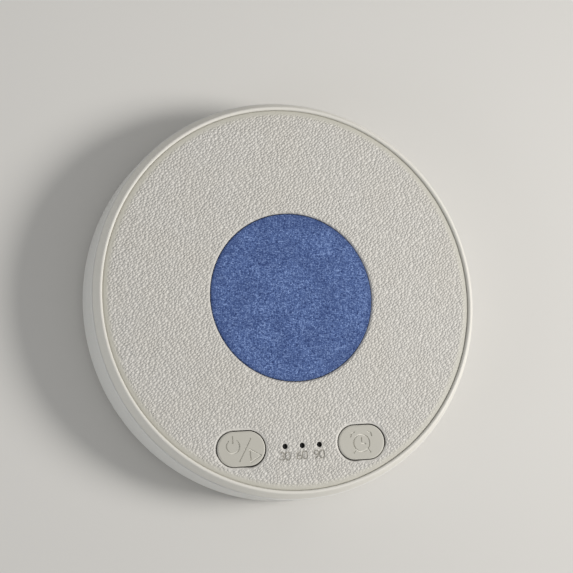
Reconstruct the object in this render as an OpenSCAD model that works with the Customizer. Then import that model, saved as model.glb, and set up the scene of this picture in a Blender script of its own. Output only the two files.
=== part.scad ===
// Pillow speaker: a slim round speaker that lies flat on its back.
// Millimetres. +Z points out of the front, -Y points from the centre to the two keys.
// The origin is the middle of the footprint, on the surface that the feet stand on.

/* [Body] */
// Outer diameter of the round body
disc_d = 90; // [86:1:104]
// Height of the body from its rear face to the crown of its front
body_h = 14.75; // [14.05:0.1:19.25]
// Thickness of the side wall
wall_t = 1.8; // [1.4:0.1:2.4]
// Thickness of the rear floor
floor_t = 1.6; // [1.3:0.1:2.2]
// Radius of the rounded rear edge
rear_edge_r = 2.5; // [1:0.5:4]
// Radius on the front edge of the side wall
wall_lip_r = 0.3; // [0.1:0.1:0.6]
// Clearance between pieces that slip into each other
fit_gap = 0.1; // [0.05:0.05:0.2]

/* [Front rim] */
// Depth of the parting line below the crown of the front
parting_drop = 2.25; // [1.85:0.1:3.05]
// Height of the open groove at the parting line
parting_gap = 0.25; // [0.1:0.05:0.5]
// Step from the side wall in to the foot of the rim
parting_step = 0.25; // [0.1:0.05:0.6]
// Width of the rim, from the outer diameter to the crease beside the pad
rim_w = 2.05; // [1.8:0.05:3]
// Radius of the bead on the crest of the rim
rim_bead_r = 0.45; // [0.3:0.05:0.7]
// Depth of the rim's crest below the crown of the front
rim_crest_drop = 0.15; // [0.05:0.05:0.4]
// Depth of the tongue that the rim pushes into the side wall
tongue_h = 2.1; // [1.2:0.1:3]
// Thickness of that tongue
tongue_t = 1.1; // [0.8:0.1:1.5]

/* [Pad] */
// Thickness of the leather pad at the crown
pad_t = 1.55; // [1.45:0.05:2.2]
// Height of the crown, from the pad's outer edge to its middle
pad_crown = 0.6; // [0.4:0.1:0.8]
// Depth that the pad's edge rolls down into the crease
pad_roll_h = 0.35; // [0.2:0.05:0.5]
// Width of that rolled edge
pad_roll_w = 0.7; // [0.4:0.1:1.5]
// Thickness of the deck that carries the pad
deck_t = 1.5; // [1.2:0.1:2]
// Depth of the sunk figures and signs
mark_depth = 0.2; // [0.1:0.05:0.3]
// Height of the sunk figures
figure_h = 1.75; // [1.4:0.05:2.2]

/* [Speaker grille] */
// Reach of the cloth disc past the edge of the speaker driver
cloth_margin = 0.85; // [0.6:0.05:1.2]
// Thickness of the cloth
cloth_t = 0.45; // [0.3:0.05:0.6]
// Open line around the cloth
cloth_gap = 0.15; // [0.1:0.05:0.3]
// Thickness of the grille plate
grille_t = 0.8; // [0.6:0.05:0.9]
// Diameter of the grille's holes
grille_hole_d = 2; // [1.4:0.1:2.4]
// Distance between the grille's rings of holes
grille_pitch = 3.2; // [3:0.1:4]

/* [Keys] */
// Length of a key
key_l = 11; // [9:0.5:12]
// Width of a key
key_w = 7.7; // [6.5:0.1:8.5]
// Open line around a key
key_gap = 0.3; // [0.2:0.05:0.4]
// Distance of each key's middle from the middle line
key_x = 14; // [13:0.5:15.5]
// Distance of the keys' and lamps' line in from the outer edge
key_inset = 11.9; // [11.5:0.1:12.5]
// Radius on a key's upper edge
key_edge_r = 0.4; // [0.2:0.1:0.8]
// Reach of a key's flange past its sides, below the deck
key_flange_w = 0.8; // [0.6:0.1:1]
// Thickness of that flange
key_flange_t = 1; // [0.8:0.1:1.2]
// How far a key goes down when it is pressed
key_travel = 0.35; // [0.2:0.05:0.4]

/* [Timer lamps] */
// Distance between the lamp holes
lamp_pitch = 4; // [3.5:0.25:5]
// Diameter of a lamp hole
lamp_hole_d = 1.2; // [1:0.1:1.6]
// Depth of the light guide's tips below the pad's face
lamp_sink = 1; // [0.6:0.1:1.4]

/* [Speaker driver] */
// Diameter of the driver
driver_d = 36; // [33:1:38]
// Thickness of the foam pad between the driver and the rear floor
magnet_pad_t = 1.5; // [1:0.1:2.5]
// Radius of the magnet
magnet_r = 6.5; // [5.5:0.25:6.5]
// Height of the magnet
magnet_h = 1.6; // [1.2:0.1:2]
// Thickness of the pole plate and of the yoke's floor
pole_t = 1; // [0.8:0.1:1.2]
// Thickness of the foam ring between the driver and the deck
gasket_t = 0.6; // [0.4:0.1:0.8]
// Thickness of the cone's rubber surround
surround_t = 0.4; // [0.3:0.05:0.5]
// Width of the surround's roll
roll_w = 2.9; // [2.4:0.1:3.2]
// Furthest travel of the cone to each side of rest
cone_travel = 0.5; // [0.2:0.1:0.8]

/* [Board] */
// Thickness of the main board
board_t = 1; // [0.8:0.1:1.2]
// Side of a push switch's square housing
switch_w = 6; // [4.5:0.5:6]
// Height of a push switch's housing
switch_h = 3.5; // [3:0.1:3.8]
// Height of a push switch's plunger above its housing
plunger_h = 0.8; // [0.6:0.1:1]
// Diameter of the plunger
plunger_d = 3.5; // [2.8:0.1:3.8]
// Width of the charging socket
port_w = 8.94; // [8.94:0.01:9.2]
// Height of the charging socket
port_h = 3.26; // [3.16:0.01:3.4]
// Depth of the charging socket
port_l = 7.35; // [6.5:0.05:8]
// Depth of the charging socket's mouth below the side wall
port_sink = 1.1; // [0.8:0.1:1.4]
// Thickness of the charging socket's metal
port_t = 0.3; // [0.25:0.05:0.4]

/* [Battery] */
// Length of the battery pouch
battery_l = 36; // [30:1:38]
// Width of the battery pouch
battery_w = 14; // [10:1:17]
// Thickness of the battery pouch
battery_h = 6; // [4:0.5:7]
// Thickness of the tape under the battery
tape_t = 0.5; // [0.3:0.1:0.8]

/* [Fastening] */
// Distance of the case screws in from the outer edge
boss_inset = 8.5; // [8:0.25:9]
// Angle of the case screws from the line through the middle that runs beside the keys
boss_turn = 30; // [25:1:45]
// Radius of the case's screw bosses
boss_r = 3.2; // [3:0.1:3.5]
// Height above the rear face at which the bosses of the two shells meet
boss_meet_h = 5.5; // [5.2:0.1:6]
// Diameter of a case screw's shank
screw_d = 1.9; // [1.6:0.1:2.1]
// Length of a case screw below its head
screw_l = 6.5; // [5.5:0.5:7]
// Diameter of a case screw's head
screw_head_d = 3.8; // [3.4:0.1:4]
// Height of a case screw's head
screw_head_h = 1.4; // [1:0.1:1.6]
// Diameter of a rubber foot
foot_d = 8.6; // [7.5:0.1:9.5]
// Height of a foot below the rear face
foot_h = 0.5; // [0.3:0.1:1.5]
// Depth of the recess that holds a foot
foot_recess = 0.8; // [0.5:0.1:0.9]

/* [Hidden] */
$fn = 96;

// Overlap of a solid's own parts where one grows out of another
root = 0.2;

// Colours of the finishes
GREIGE = [0.78, 0.76, 0.72];
PALE_GREY = [0.74, 0.74, 0.72];
DENIM = [0.25, 0.38, 0.62];
BLACK = [0.05, 0.05, 0.05];
STEEL = [0.72, 0.73, 0.75];
BOARD_GREEN = [0.05, 0.3, 0.18];

// Levels, from the surface under the feet upwards
rear_z = foot_h;
floor_z = rear_z + floor_t;
crown_z = rear_z + body_h;
parting_z = crown_z - parting_drop;
wall_top_z = parting_z - parting_gap;
deck_z = crown_z - pad_t;
deck_low_z = deck_z - deck_t;
boss_meet_z = rear_z + boss_meet_h;
boss_roof_t = 2;
head_seat_z = boss_meet_z - boss_roof_t;

// Radii of the body
disc_r = disc_d / 2;
wall_in_r = disc_r - wall_t;
crease_r = disc_r - rim_w;
pad_r = crease_r - fit_gap / 2;
tongue_r = wall_in_r - fit_gap;
boss_ring_r = disc_r - boss_inset;

// Speaker opening, from the driver outwards
driver_r = driver_d / 2;
cloth_r = driver_r + cloth_margin;
grille_r = cloth_r - cloth_t;
sound_r = driver_r - 1.2;
collar_r = driver_r + 0.15;
collar_t = 1.2;
collar_h = 2.4;
grille_z = crown_at(cloth_r) - cloth_t;

// Keys and switches, stacked from the deck down to the board
key_y = -(disc_r - key_inset);
key_top_z = face_z(norm([key_x, key_y]));
flange_top_z = deck_low_z - fit_gap;
flange_low_z = flange_top_z - key_flange_t;
stem_h = 0.6;
plunger_top_z = flange_low_z - stem_h;
board_z = plunger_top_z - plunger_h - switch_h;
plunger_hidden_h = 0.7;
switch_well_h = plunger_hidden_h + key_travel + 0.15;
board_low_z = board_z - board_t;

// Outline of the main board
board_r = wall_in_r - 2;
board_top_y = -(collar_r + collar_t + 1.55);
board_side_w = 8;
board_half_w = key_x + board_side_w;
post_inset = 2.7;
post_drop = 3.3;
post_x = board_half_w - post_inset;
post_y = board_top_y - post_drop;
post_r = 2;
post_hole_r = 0.75;

// Charging socket
port_back_t = 0.5;
port_y = -(disc_r - port_sink);
port_z = board_z + port_h / 2;

// Battery
battery_y = collar_r + collar_t + 1.6;
battery_z = floor_z + tape_t;
guard_l = 2.6;
guard_t = 0.8;
guard_margin = 2;
guard_lift = 2;

// Battery plug and its socket
socket_size = [5.4, 4.2, 2.6];
socket_x = 14;
socket_inset = 0.4;
socket_wall = 0.4;
plug_size = [4.4, 4.8, 1.8];
plug_back_y = board_top_y - socket_inset - socket_size.y + socket_wall;

// Levels of the speaker driver
lip_top_z = deck_low_z - gasket_t;
flange_z = lip_top_z - surround_t;
yoke_z = floor_z + magnet_pad_t;
driver_h = lip_top_z - yoke_z;
magnet_z = yoke_z + pole_t;
pole_z = magnet_z + magnet_h;
yoke_top_z = pole_z + pole_t;
basket_t = 0.8;
basket_r = driver_r - 1;
terminal_size = [7, 0.7, 2.6];
lug_size = [1, 0.3, 1.6];
terminal_y = -basket_r - 0.3;
terminal_z = deck_low_z - collar_h - 0.3 - terminal_size.z / 2;
neck_z = yoke_top_z + cone_travel + 1.25;

// Radii of the speaker driver's moving parts
pole_r = magnet_r + 0.4;
coil_in_r = pole_r + 0.25;
coil_r = coil_in_r + 0.4;
yoke_in_r = coil_r + 0.35;
yoke_r = yoke_in_r + 1.1;
roll_inset = 3.45;
roll_mid_r = driver_r - roll_inset;
cone_r = roll_mid_r - roll_w / 2 + 0.1;

// Hand-set routes of the leads, from the board to the battery and from the driver to the board
lead_pitch = 1.2;
lead_low_z = floor_z + 0.8;
lead_bend_r = collar_r + collar_t + 3.4;
plug_mid_z = board_z + socket_wall + plug_size.z / 2;
plug_face = [socket_x - lead_pitch / 2, plug_back_y + plug_size.y, plug_mid_z];
guard_face = [battery_l / 2 + 0.7, battery_y + guard_margin, battery_z + guard_lift + guard_t / 2];
lug_face_y = terminal_y - terminal_size.y - lug_size.y;
board_joint = [0, board_top_y - 1.9, board_z + 0.45];
function around_driver(a, z) = [lead_bend_r * cos(a), lead_bend_r * sin(a), z];
function between_z(share) = lead_low_z + share * (plug_mid_z - lead_low_z);
BATTERY_ROUTE = [
  plug_face, plug_face + [0, 0.7, 0], plug_face + [0, 1.4, 0],
  around_driver(-46, between_z(0.7)), around_driver(-34, between_z(0.2)), around_driver(-19, lead_low_z),
  around_driver(-2, lead_low_z), around_driver(16, lead_low_z), around_driver(32, lead_low_z + 0.3),
  guard_face - [-0.4, 5.8, 0.4], guard_face - [0, 2.1, 0], guard_face - [0, 1, 0], guard_face
];
SPEAKER_ROUTE = [
  [0, lug_face_y, terminal_z], [0, lug_face_y - 0.7, terminal_z], [0, lug_face_y - 1.4, terminal_z],
  [0, board_joint.y + 2, (terminal_z + board_joint.z) / 2], board_joint + [0, 1, 0.05], board_joint
];
battery_lead_d = 1;
speaker_lead_d = 0.8;
speaker_lead_x = 1.8;

// Height of the crowned front at a distance from the middle
function crown_at(r) = crown_z - pad_crown * pow(r / pad_r, 2);
// Height of the front with the pad's rolled edge
function face_z(r) =
  let (into = max(0, r - (pad_r - pad_roll_w)) / pad_roll_w)
  crown_at(r) - pad_roll_h * (1 - sqrt(max(0, 1 - into * into)));
// Points of the front's outline between two radii
function face_points(r0, r1, steps, drop = 0) =
  [for (i = [0:steps]) let (r = r0 + (r1 - r0) * i / steps) [r, face_z(r) - drop]];
// Points of an arc about a centre
function arc_points(centre, r, from, to, steps) =
  [for (i = [0:steps]) let (a = from + (to - from) * i / steps) centre + r * [cos(a), sin(a)]];

// A smooth curve through the hand-set points of a route
function spline_at(a, b, c, d, t) =
  0.5 * (2 * b + (c - a) * t + (2 * a - 5 * b + 4 * c - d) * t * t + (3 * b - a - 3 * c + d) * t * t * t);
function smooth_route(p, steps) =
  let (last = len(p) - 1)
  [for (i = [0:last - 1]) for (s = [0:steps - 1])
    spline_at(p[max(i - 1, 0)], p[i], p[i + 1], p[min(i + 2, last)], s / steps),
   p[last]];
// Direction of a route at one of its points
function along(p, i) =
  let (d = p[min(i + 1, len(p) - 1)] - p[max(i - 1, 0)])
  d / norm(d);
// The same route a little to its side, level with it
function beside(p, gap) =
  [for (i = [0:len(p) - 1]) let (d = along(p, i)) p[i] + gap * [d.y, -d.x, 0] / norm([d.x, d.y])];
// One ring of a lead's skin
function lead_ring(p, i, r, sides) =
  let (d = along(p, i), side = cross(d, [0, 0, 1]), flat = side / norm(side), up = cross(flat, d))
  [for (k = [0:sides - 1]) p[i] + r * (cos(360 * k / sides) * flat + sin(360 * k / sides) * up)];

// A lead as one tube along its route
module lead(p, d, sides = 8) {
  last = len(p) - 1;
  skin = [for (i = [0:last]) each lead_ring(p, i, d / 2, sides)];
  sides_faces = [for (i = [0:last - 1]) for (k = [0:sides - 1])
    let (a = i * sides + k, b = i * sides + (k + 1) % sides)
    [a, b, b + sides, a + sides]];
  start_cap = [for (k = [sides - 1:-1:0]) k];
  end_cap = [for (k = [0:sides - 1]) last * sides + k];
  polyhedron(points = skin, faces = concat(sides_faces, [start_cap, end_cap]), convexity = 6);
}

// A flat shape with two round ends, lying along X
module stadium(l, w) {
  square([l - w, w], center = true);
  for (side = [-1, 1]) translate([side * (l - w) / 2, 0]) circle(d = w);
}
// A rounded stroke between two points
module stroke(a, b, w) {
  d = b - a;
  translate(a) rotate(atan2(d.y, d.x)) translate([0, -w / 2]) square([norm(d), w]);
  translate(a) circle(d = w);
  translate(b) circle(d = w);
}
// A chain of strokes
module strokes(points, w) {
  for (i = [0:len(points) - 2]) stroke(points[i], points[i + 1], w);
}
// A ring of a given middle radius
module ring(r, w) {
  difference() {
    circle(r + w / 2);
    circle(r - w / 2);
  }
}
// The part of a ring that lies between two angles
module ring_arc(r, w, from, to) {
  intersection() {
    ring(r, w);
    polygon(concat([[0, 0]], arc_points([0, 0], 2 * r, from, to, 8)));
  }
}
// A straight tube
module tube(r_out, r_in, h) {
  difference() {
    cylinder(r = r_out, h = h);
    translate([0, 0, -1]) cylinder(r = r_in, h = h + 2);
  }
}
// Places its children at the four case screws
module at_bosses() {
  for (a = [boss_turn, 180 - boss_turn, 180 + boss_turn, -boss_turn])
    rotate(a) translate([boss_ring_r, 0, 0]) children();
}
// Places its children at the two board posts
module at_posts() {
  for (side = [-1, 1]) translate([side * post_x, post_y, 0]) children();
}
// Places its children at the three timer lamps
module at_lamps() {
  for (i = [-1:1]) translate([i * lamp_pitch, key_y, 0]) children();
}

// Shells

// Half section of the rear shell
module shell_section() {
  lip_z = wall_top_z - wall_lip_r;
  inner_r = 1.2;
  difference() {
    union() {
      translate([0, rear_z]) square([disc_r - rear_edge_r, lip_z - rear_z]);
      translate([0, rear_z + rear_edge_r]) square([disc_r, lip_z - rear_z - rear_edge_r]);
      translate([disc_r - rear_edge_r, rear_z + rear_edge_r]) circle(rear_edge_r);
      translate([0, lip_z]) square([disc_r - wall_lip_r, wall_lip_r]);
      translate([disc_r - wall_lip_r, lip_z]) circle(wall_lip_r);
    }
    translate([-1, floor_z]) square([wall_in_r - inner_r + 1, body_h]);
    translate([-1, floor_z + inner_r]) square([wall_in_r + 1, body_h]);
    translate([wall_in_r - inner_r, floor_z + inner_r]) circle(inner_r);
  }
}

module rear_shell() {
  rib_t = 1;
  rib_h = 2.5;
  rib_l = battery_l * 0.6;
  rib_gap = 0.3;
  switch_post_r = 1.5;
  color(PALE_GREY) difference() {
    union() {
      rotate_extrude() shell_section();
      at_bosses() translate([0, 0, floor_z - root]) cylinder(r = boss_r, h = boss_meet_z - floor_z + root);
      at_posts() translate([0, 0, floor_z - root]) cylinder(r = post_r, h = board_low_z - floor_z + root);
      for (side = [-1, 1]) translate([side * key_x, key_y, floor_z - root])
        cylinder(r = switch_post_r, h = board_low_z - floor_z + root);
      for (y = [battery_y - rib_gap - rib_t, battery_y + battery_w + rib_gap])
        translate([-rib_l / 2, y, floor_z - root]) cube([rib_l, rib_t, rib_h + root]);
    }
    at_bosses() {
      translate([0, 0, rear_z - 1]) cylinder(d = foot_d + 2 * fit_gap, h = foot_recess + 1);
      translate([0, 0, rear_z]) cylinder(d = screw_head_d + 0.4, h = head_seat_z - rear_z);
      translate([0, 0, rear_z]) cylinder(d = screw_d + 0.5, h = boss_meet_h + 1);
    }
    at_posts() translate([0, 0, floor_z]) cylinder(r = post_hole_r, h = board_z - floor_z);
    translate([0, -wall_in_r + 2, port_z]) rotate([90, 0, 0])
      linear_extrude(wall_t + 4) stadium(port_w + 4 * fit_gap, port_h + 4 * fit_gap);
  }
}

// Half section of the front frame: bead, shoulder, tongue and deck
module frame_section() {
  bead = [crease_r + rim_bead_r, crown_z - rim_crest_drop - rim_bead_r];
  foot_r = disc_r - parting_step;
  foot_rise = 0.15;
  polygon(concat(
    [[sound_r, deck_low_z], [sound_r, deck_z], [crease_r, deck_z]],
    arc_points(bead, rim_bead_r, 180, 38, 10),
    [[foot_r, parting_z + foot_rise], [foot_r, parting_z], [tongue_r, parting_z],
     [tongue_r, parting_z - tongue_h], [tongue_r - tongue_t, parting_z - tongue_h],
     [tongue_r - tongue_t, deck_low_z]]));
}

module front_frame() {
  boss_wall = 1.65;
  color(GREIGE) difference() {
    union() {
      rotate_extrude() frame_section();
      translate([0, 0, deck_low_z - collar_h]) tube(collar_r + collar_t, collar_r, collar_h + root);
      at_bosses() translate([0, 0, boss_meet_z])
        cylinder(r = screw_d / 2 + boss_wall, h = deck_low_z - boss_meet_z + root);
    }
    at_bosses() translate([0, 0, boss_meet_z - 1])
      cylinder(d = screw_d + fit_gap, h = screw_l + head_seat_z - boss_meet_z + 1.5);
    key_openings();
    flange_rooms();
    lamp_holes();
  }
}

// The two openings that the keys pass through
module key_openings() {
  for (side = [-1, 1]) translate([side * key_x, key_y, deck_low_z - 1])
    linear_extrude(deck_t + pad_t + 2) stadium(key_l + 2 * key_gap, key_w + 2 * key_gap);
}
// The room that the keys' flanges need below the deck
module flange_rooms() {
  room_w = key_flange_w + key_gap;
  low_z = flange_low_z - key_travel - fit_gap;
  for (side = [-1, 1]) translate([side * key_x, key_y, low_z])
    linear_extrude(deck_low_z - low_z) stadium(key_l + 2 * room_w, key_w + 2 * room_w);
}
// The three holes that the timer lamps shine through
module lamp_holes() {
  at_lamps() translate([0, 0, deck_low_z - 1]) cylinder(d = lamp_hole_d, h = deck_t + pad_t + 2);
}

// Front pad with its sunk figures

// Flat outline of one figure: 0, 3, 6 or 9
module figure(n) {
  h = figure_h;
  w = 0.13 * h;
  bowl_r = 0.25 * h - w / 4;
  low = [0, -h / 2 + bowl_r + w / 2];
  if (n == 0) difference() {
    rotate(90) stadium(h, 2 * bowl_r + w);
    rotate(90) stadium(h - 2 * w, 2 * bowl_r - w);
  }
  if (n == 3) {
    translate(-low) ring_arc(bowl_r, w, -90, 160);
    translate(low) ring_arc(bowl_r, w, -160, 90);
  }
  if (n == 6 || n == 9) rotate(n == 9 ? 180 : 0) {
    translate(low) ring(bowl_r, w);
    strokes([[-bowl_r, low.y], [-0.8 * bowl_r, 0.15 * h], [0.1 * h, h / 2 - w / 2]], w);
  }
}

module front_pad() {
  figure_step = 0.36 * figure_h;
  figure_y = key_y - 1.4 - figure_h / 2 - lamp_hole_d / 4;
  minutes = [3, 6, 9];
  hole_r = cloth_r + cloth_gap;
  color(GREIGE) difference() {
    rotate_extrude() polygon(concat(
      [[hole_r, deck_z]],
      face_points(hole_r, pad_r - pad_roll_w, 8),
      face_points(pad_r - pad_roll_w * 0.75, pad_r, 8),
      [[pad_r, deck_z]]));
    key_openings();
    lamp_holes();
    for (i = [0:2]) translate([(i - 1) * lamp_pitch, figure_y, face_z(-figure_y) - mark_depth])
      linear_extrude(1) {
        translate([-figure_step, 0]) figure(minutes[i]);
        translate([figure_step, 0]) figure(0);
      }
  }
}

// Grille in the middle of the front

module speaker_cloth() {
  hem_z = deck_z + 0.1;
  color(DENIM) difference() {
    rotate_extrude() polygon(concat(
      [[0, hem_z]],
      [for (i = [0:8]) [cloth_r * i / 8, crown_at(cloth_r * i / 8)]],
      [[cloth_r, hem_z]]));
    translate([0, 0, deck_z - 1]) cylinder(r = grille_r, h = grille_z - deck_z + 1);
  }
}

module grille_plate() {
  skirt_t = 1.2;
  under_z = grille_z - grille_t;
  rings = floor((grille_r - skirt_t - grille_hole_d) / grille_pitch);
  color(BLACK) difference() {
    translate([0, 0, deck_z]) cylinder(r = grille_r, h = grille_z - deck_z);
    translate([0, 0, deck_z - 1]) cylinder(r = grille_r - skirt_t, h = under_z - deck_z + 1);
    for (k = [0:rings], i = [0:max(1, 6 * k) - 1]) rotate(60 * i / max(1, k))
      translate([k * grille_pitch, 0, under_z - 1]) cylinder(d = grille_hole_d, h = grille_t + 2, $fn = 24);
  }
}

// Keys

// Half section of a key with a rounded upper edge
function key_section(half_w, low_z, top_z) = concat(
  [[0, low_z], [half_w, low_z]],
  arc_points([half_w - key_edge_r, top_z - key_edge_r], key_edge_r, 0, 90, 5),
  [[0, top_z]]);

// A key's solid: two turned ends and a drawn middle of the same section
module key_solid(low_z, top_z) {
  section = key_section(key_w / 2, low_z, top_z);
  other_side = [for (i = [len(section) - 1:-1:0]) [-section[i].x, section[i].y]];
  for (side = [-1, 1]) translate([side * (key_l - key_w) / 2, 0, 0]) rotate_extrude() polygon(section);
  rotate([90, 0, 90]) linear_extrude(key_l - key_w, center = true)
    polygon(concat([for (p = section) if (p.x > 0) p], [for (p = other_side) if (p.x < 0) p]));
}

// A whole key, with its flange, its stem and the sign given as a child cut into its top
module key() {
  difference() {
    union() {
      key_solid(flange_low_z, key_top_z);
      translate([0, 0, flange_low_z]) linear_extrude(key_flange_t)
        stadium(key_l + 2 * key_flange_w, key_w + 2 * key_flange_w);
      translate([0, 0, plunger_top_z]) cylinder(d = plunger_d, h = stem_h + key_flange_t / 2);
    }
    translate([0, 0, key_top_z - mark_depth]) linear_extrude(1) children();
  }
}

sign_w = 0.3;
// Power ring, slash and play triangle
module power_sign() {
  translate([-1.9, 0.6]) {
    ring_arc(1.5, sign_w, 125, 415);
    stroke([0, 2.1], [0, 0.7], sign_w);
  }
  stroke([2.2, 2.1], [-0.6, -2.7], sign_w);
  strokes([[1.9, -0.2], [4.4, -1.6], [2, -3], [1.9, -0.2]], sign_w);
}
// Alarm clock
module clock_sign() {
  translate([0, -0.2]) {
    ring(1.9, sign_w);
    strokes([[0, 1.2], [0, 0], [0.9, -0.2]], sign_w);
    for (side = [-1, 1]) {
      stroke([side * 1.45, -1.5], [side * 2, -2.1], sign_w);
      strokes([[side * 1.6, 2.5], [side * 2.3, 2.2], [side * 2.5, 1.5]], sign_w);
    }
  }
}

module power_key() {
  color(GREIGE) translate([-key_x, key_y, 0]) key() power_sign();
}
module timer_key() {
  color(GREIGE) translate([key_x, key_y, 0]) key() clock_sign();
}

// Push switches below the keys

module push_switch() {
  foot_w = 0.7;
  foot_out = 0.9;
  foot_t = 0.2;
  color([0.1, 0.1, 0.11]) difference() {
    union() {
      translate([-switch_w / 2, -switch_w / 2, board_z]) cube([switch_w, switch_w, switch_h]);
      for (x = [-1, 1], y = [-1, 1])
        translate([x * (switch_w / 2 + foot_out / 2), y * (switch_w / 2 - 0.75), board_z + foot_t / 2])
          cube([foot_out + 0.2, foot_w, foot_t], center = true);
    }
    translate([0, 0, board_z + switch_h - switch_well_h])
      cylinder(d = plunger_d + 2 * fit_gap, h = switch_well_h + 1);
  }
}
module switch_plunger() {
  color([0.75, 0.75, 0.73]) translate([0, 0, board_z + switch_h - plunger_hidden_h])
    cylinder(d = plunger_d, h = plunger_h + plunger_hidden_h);
}
module power_switch() {
  translate([-key_x, key_y, 0]) push_switch();
}
module power_plunger() {
  translate([-key_x, key_y, 0]) switch_plunger();
}
module timer_switch() {
  translate([key_x, key_y, 0]) push_switch();
}
module timer_plunger() {
  translate([key_x, key_y, 0]) switch_plunger();
}

// Timer lamps and the clear moulding that leads their light to the front

lamp_chip = [1.6, 0.8, 0.35];
lamp_lens = [1, 0.8, 0.65];
module timer_lamp(i) {
  color([0.95, 0.95, 0.85]) translate([i * lamp_pitch, key_y, board_z]) {
    translate([0, 0, lamp_chip.z / 2]) cube(lamp_chip, center = true);
    translate([0, 0, lamp_lens.z / 2]) cube(lamp_lens, center = true);
  }
}
module lamp_30() {
  timer_lamp(-1);
}
module lamp_60() {
  timer_lamp(0);
}
module lamp_90() {
  timer_lamp(1);
}

module light_guide() {
  bar_t = 0.9;
  bar_w = 2.4;
  tip_z = face_z(-key_y) - lamp_sink;
  low_z = board_z + lamp_lens.z + 0.15;
  color([0.12, 0.11, 0.1]) {
    translate([0, key_y, deck_low_z - bar_t]) linear_extrude(bar_t) stadium(2 * lamp_pitch + bar_w, bar_w);
    at_lamps() {
      translate([0, 0, deck_low_z - 0.2]) cylinder(d = lamp_hole_d - 2 * fit_gap, h = tip_z - deck_low_z + 0.2);
      translate([0, 0, low_z]) cylinder(d = 1.4, h = deck_low_z - bar_t - low_z + 0.2);
    }
  }
}

// Main board and what is soldered to it

module main_board() {
  color(BOARD_GREEN) translate([0, 0, board_low_z]) difference() {
    linear_extrude(board_t) intersection() {
      circle(board_r);
      translate([-board_half_w, -board_r]) square([2 * board_half_w, board_r + board_top_y]);
    }
    at_posts() translate([0, 0, -1]) cylinder(d = 2.2, h = board_t + 2);
  }
}

// A chip in a plastic body with a row of legs on two sides
module legged_chip(x, y, size) {
  legs = 4;
  leg = [0.45, 0.7, 0.2];
  step = 1.27;
  translate([x, y, board_z]) {
    translate([0, 0, size.z / 2]) cube(size, center = true);
    for (side = [-1, 1], i = [0:legs - 1])
      translate([(i - (legs - 1) / 2) * step, side * (size.y / 2 + leg.y / 2 - 0.1), leg.z / 2])
        cube(leg, center = true);
  }
}
CHIP_BLACK = [0.07, 0.07, 0.08];
side_chip_x = 8.2;
side_chip_drop = 4.3;
side_chip_size = [4.9, 3.9, 1.5];
module sound_chip() {
  size = [6, 6, 0.9];
  color(CHIP_BLACK) translate([0, (board_top_y + key_y) / 2, board_z + size.z / 2]) cube(size, center = true);
}
module amplifier_chip() {
  color(CHIP_BLACK) legged_chip(-side_chip_x, board_top_y - side_chip_drop, side_chip_size);
}
module memory_chip() {
  color(CHIP_BLACK) legged_chip(side_chip_x, board_top_y - side_chip_drop, side_chip_size);
}
module clock_crystal() {
  size = [3.2, 2.5, 0.8];
  drop = 3.6;
  color(STEEL) translate([-key_x, board_top_y - drop, board_z + size.z / 2]) cube(size, center = true);
}
module capacitors() {
  size = [0.8, 1.6, 0.8];
  inset = 2.2;
  drop = 7.2;
  step = 2.2;
  color([0.62, 0.5, 0.36]) for (side = [-1, 1], i = [0:2])
    translate([side * (board_half_w - inset), board_top_y - drop - step * i, board_z + size.z / 2])
      cube(size, center = true);
}

module charge_port_shell() {
  color(STEEL) translate([0, port_y + port_l, port_z]) rotate([90, 0, 0]) difference() {
    linear_extrude(port_l) stadium(port_w, port_h);
    translate([0, 0, port_back_t]) linear_extrude(port_l) stadium(port_w - 2 * port_t, port_h - 2 * port_t);
  }
}
module charge_port_tongue() {
  block_l = 1;
  lip_l = 0.8;
  blade = [6.7, 0.7];
  color([0.08, 0.08, 0.09]) translate([0, port_y + port_l - port_back_t, port_z]) rotate([90, 0, 0]) {
    linear_extrude(block_l) stadium(port_w - 2 * port_t, port_h - 2 * port_t);
    linear_extrude(port_l - port_back_t - lip_l) square(blade, center = true);
  }
}

// Battery, its plug and its leads

module battery_socket() {
  color([0.9, 0.89, 0.84]) translate([socket_x, board_top_y - socket_inset, board_z]) difference() {
    translate([-socket_size.x / 2, -socket_size.y, 0]) cube(socket_size);
    translate([-plug_size.x / 2 - fit_gap, -socket_size.y + socket_wall, socket_wall - fit_gap])
      cube([plug_size.x + 2 * fit_gap, socket_size.y, plug_size.z + 2 * fit_gap]);
  }
}
module battery_plug() {
  color([0.93, 0.92, 0.88]) translate([socket_x - plug_size.x / 2, plug_back_y, board_z + socket_wall])
    cube(plug_size);
}
module battery_lead_red() {
  color([0.7, 0.08, 0.06]) lead(smooth_route(BATTERY_ROUTE, 2), battery_lead_d);
}
module battery_lead_black() {
  color([0.06, 0.06, 0.06]) lead(beside(smooth_route(BATTERY_ROUTE, 2), lead_pitch), battery_lead_d);
}
module battery_cell() {
  corner_r = 1.2;
  seam = [1.2, battery_w - 3, 0.3];
  color([0.75, 0.76, 0.78]) translate([0, battery_y + battery_w / 2, battery_z]) {
    linear_extrude(battery_h) {
      square([battery_l - 2 * corner_r, battery_w], center = true);
      square([battery_l, battery_w - 2 * corner_r], center = true);
      for (x = [-1, 1], y = [-1, 1])
        translate([x * (battery_l / 2 - corner_r), y * (battery_w / 2 - corner_r)]) circle(corner_r);
    }
    translate([-battery_l / 2 - seam.x / 2 + 0.1, 0, battery_h / 2]) cube(seam, center = true);
  }
}
module battery_guard_board() {
  color([0.1, 0.22, 0.45]) translate([battery_l / 2, battery_y + guard_margin, battery_z + guard_lift])
    cube([guard_l, battery_w - 2 * guard_margin, guard_t]);
}
module battery_tape() {
  margin = 2.5;
  color([0.85, 0.84, 0.78]) translate([-battery_l / 2 + margin, battery_y + margin, floor_z])
    cube([battery_l - 2 * margin, battery_w - 2 * margin, tape_t]);
}

// Speaker driver

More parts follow.
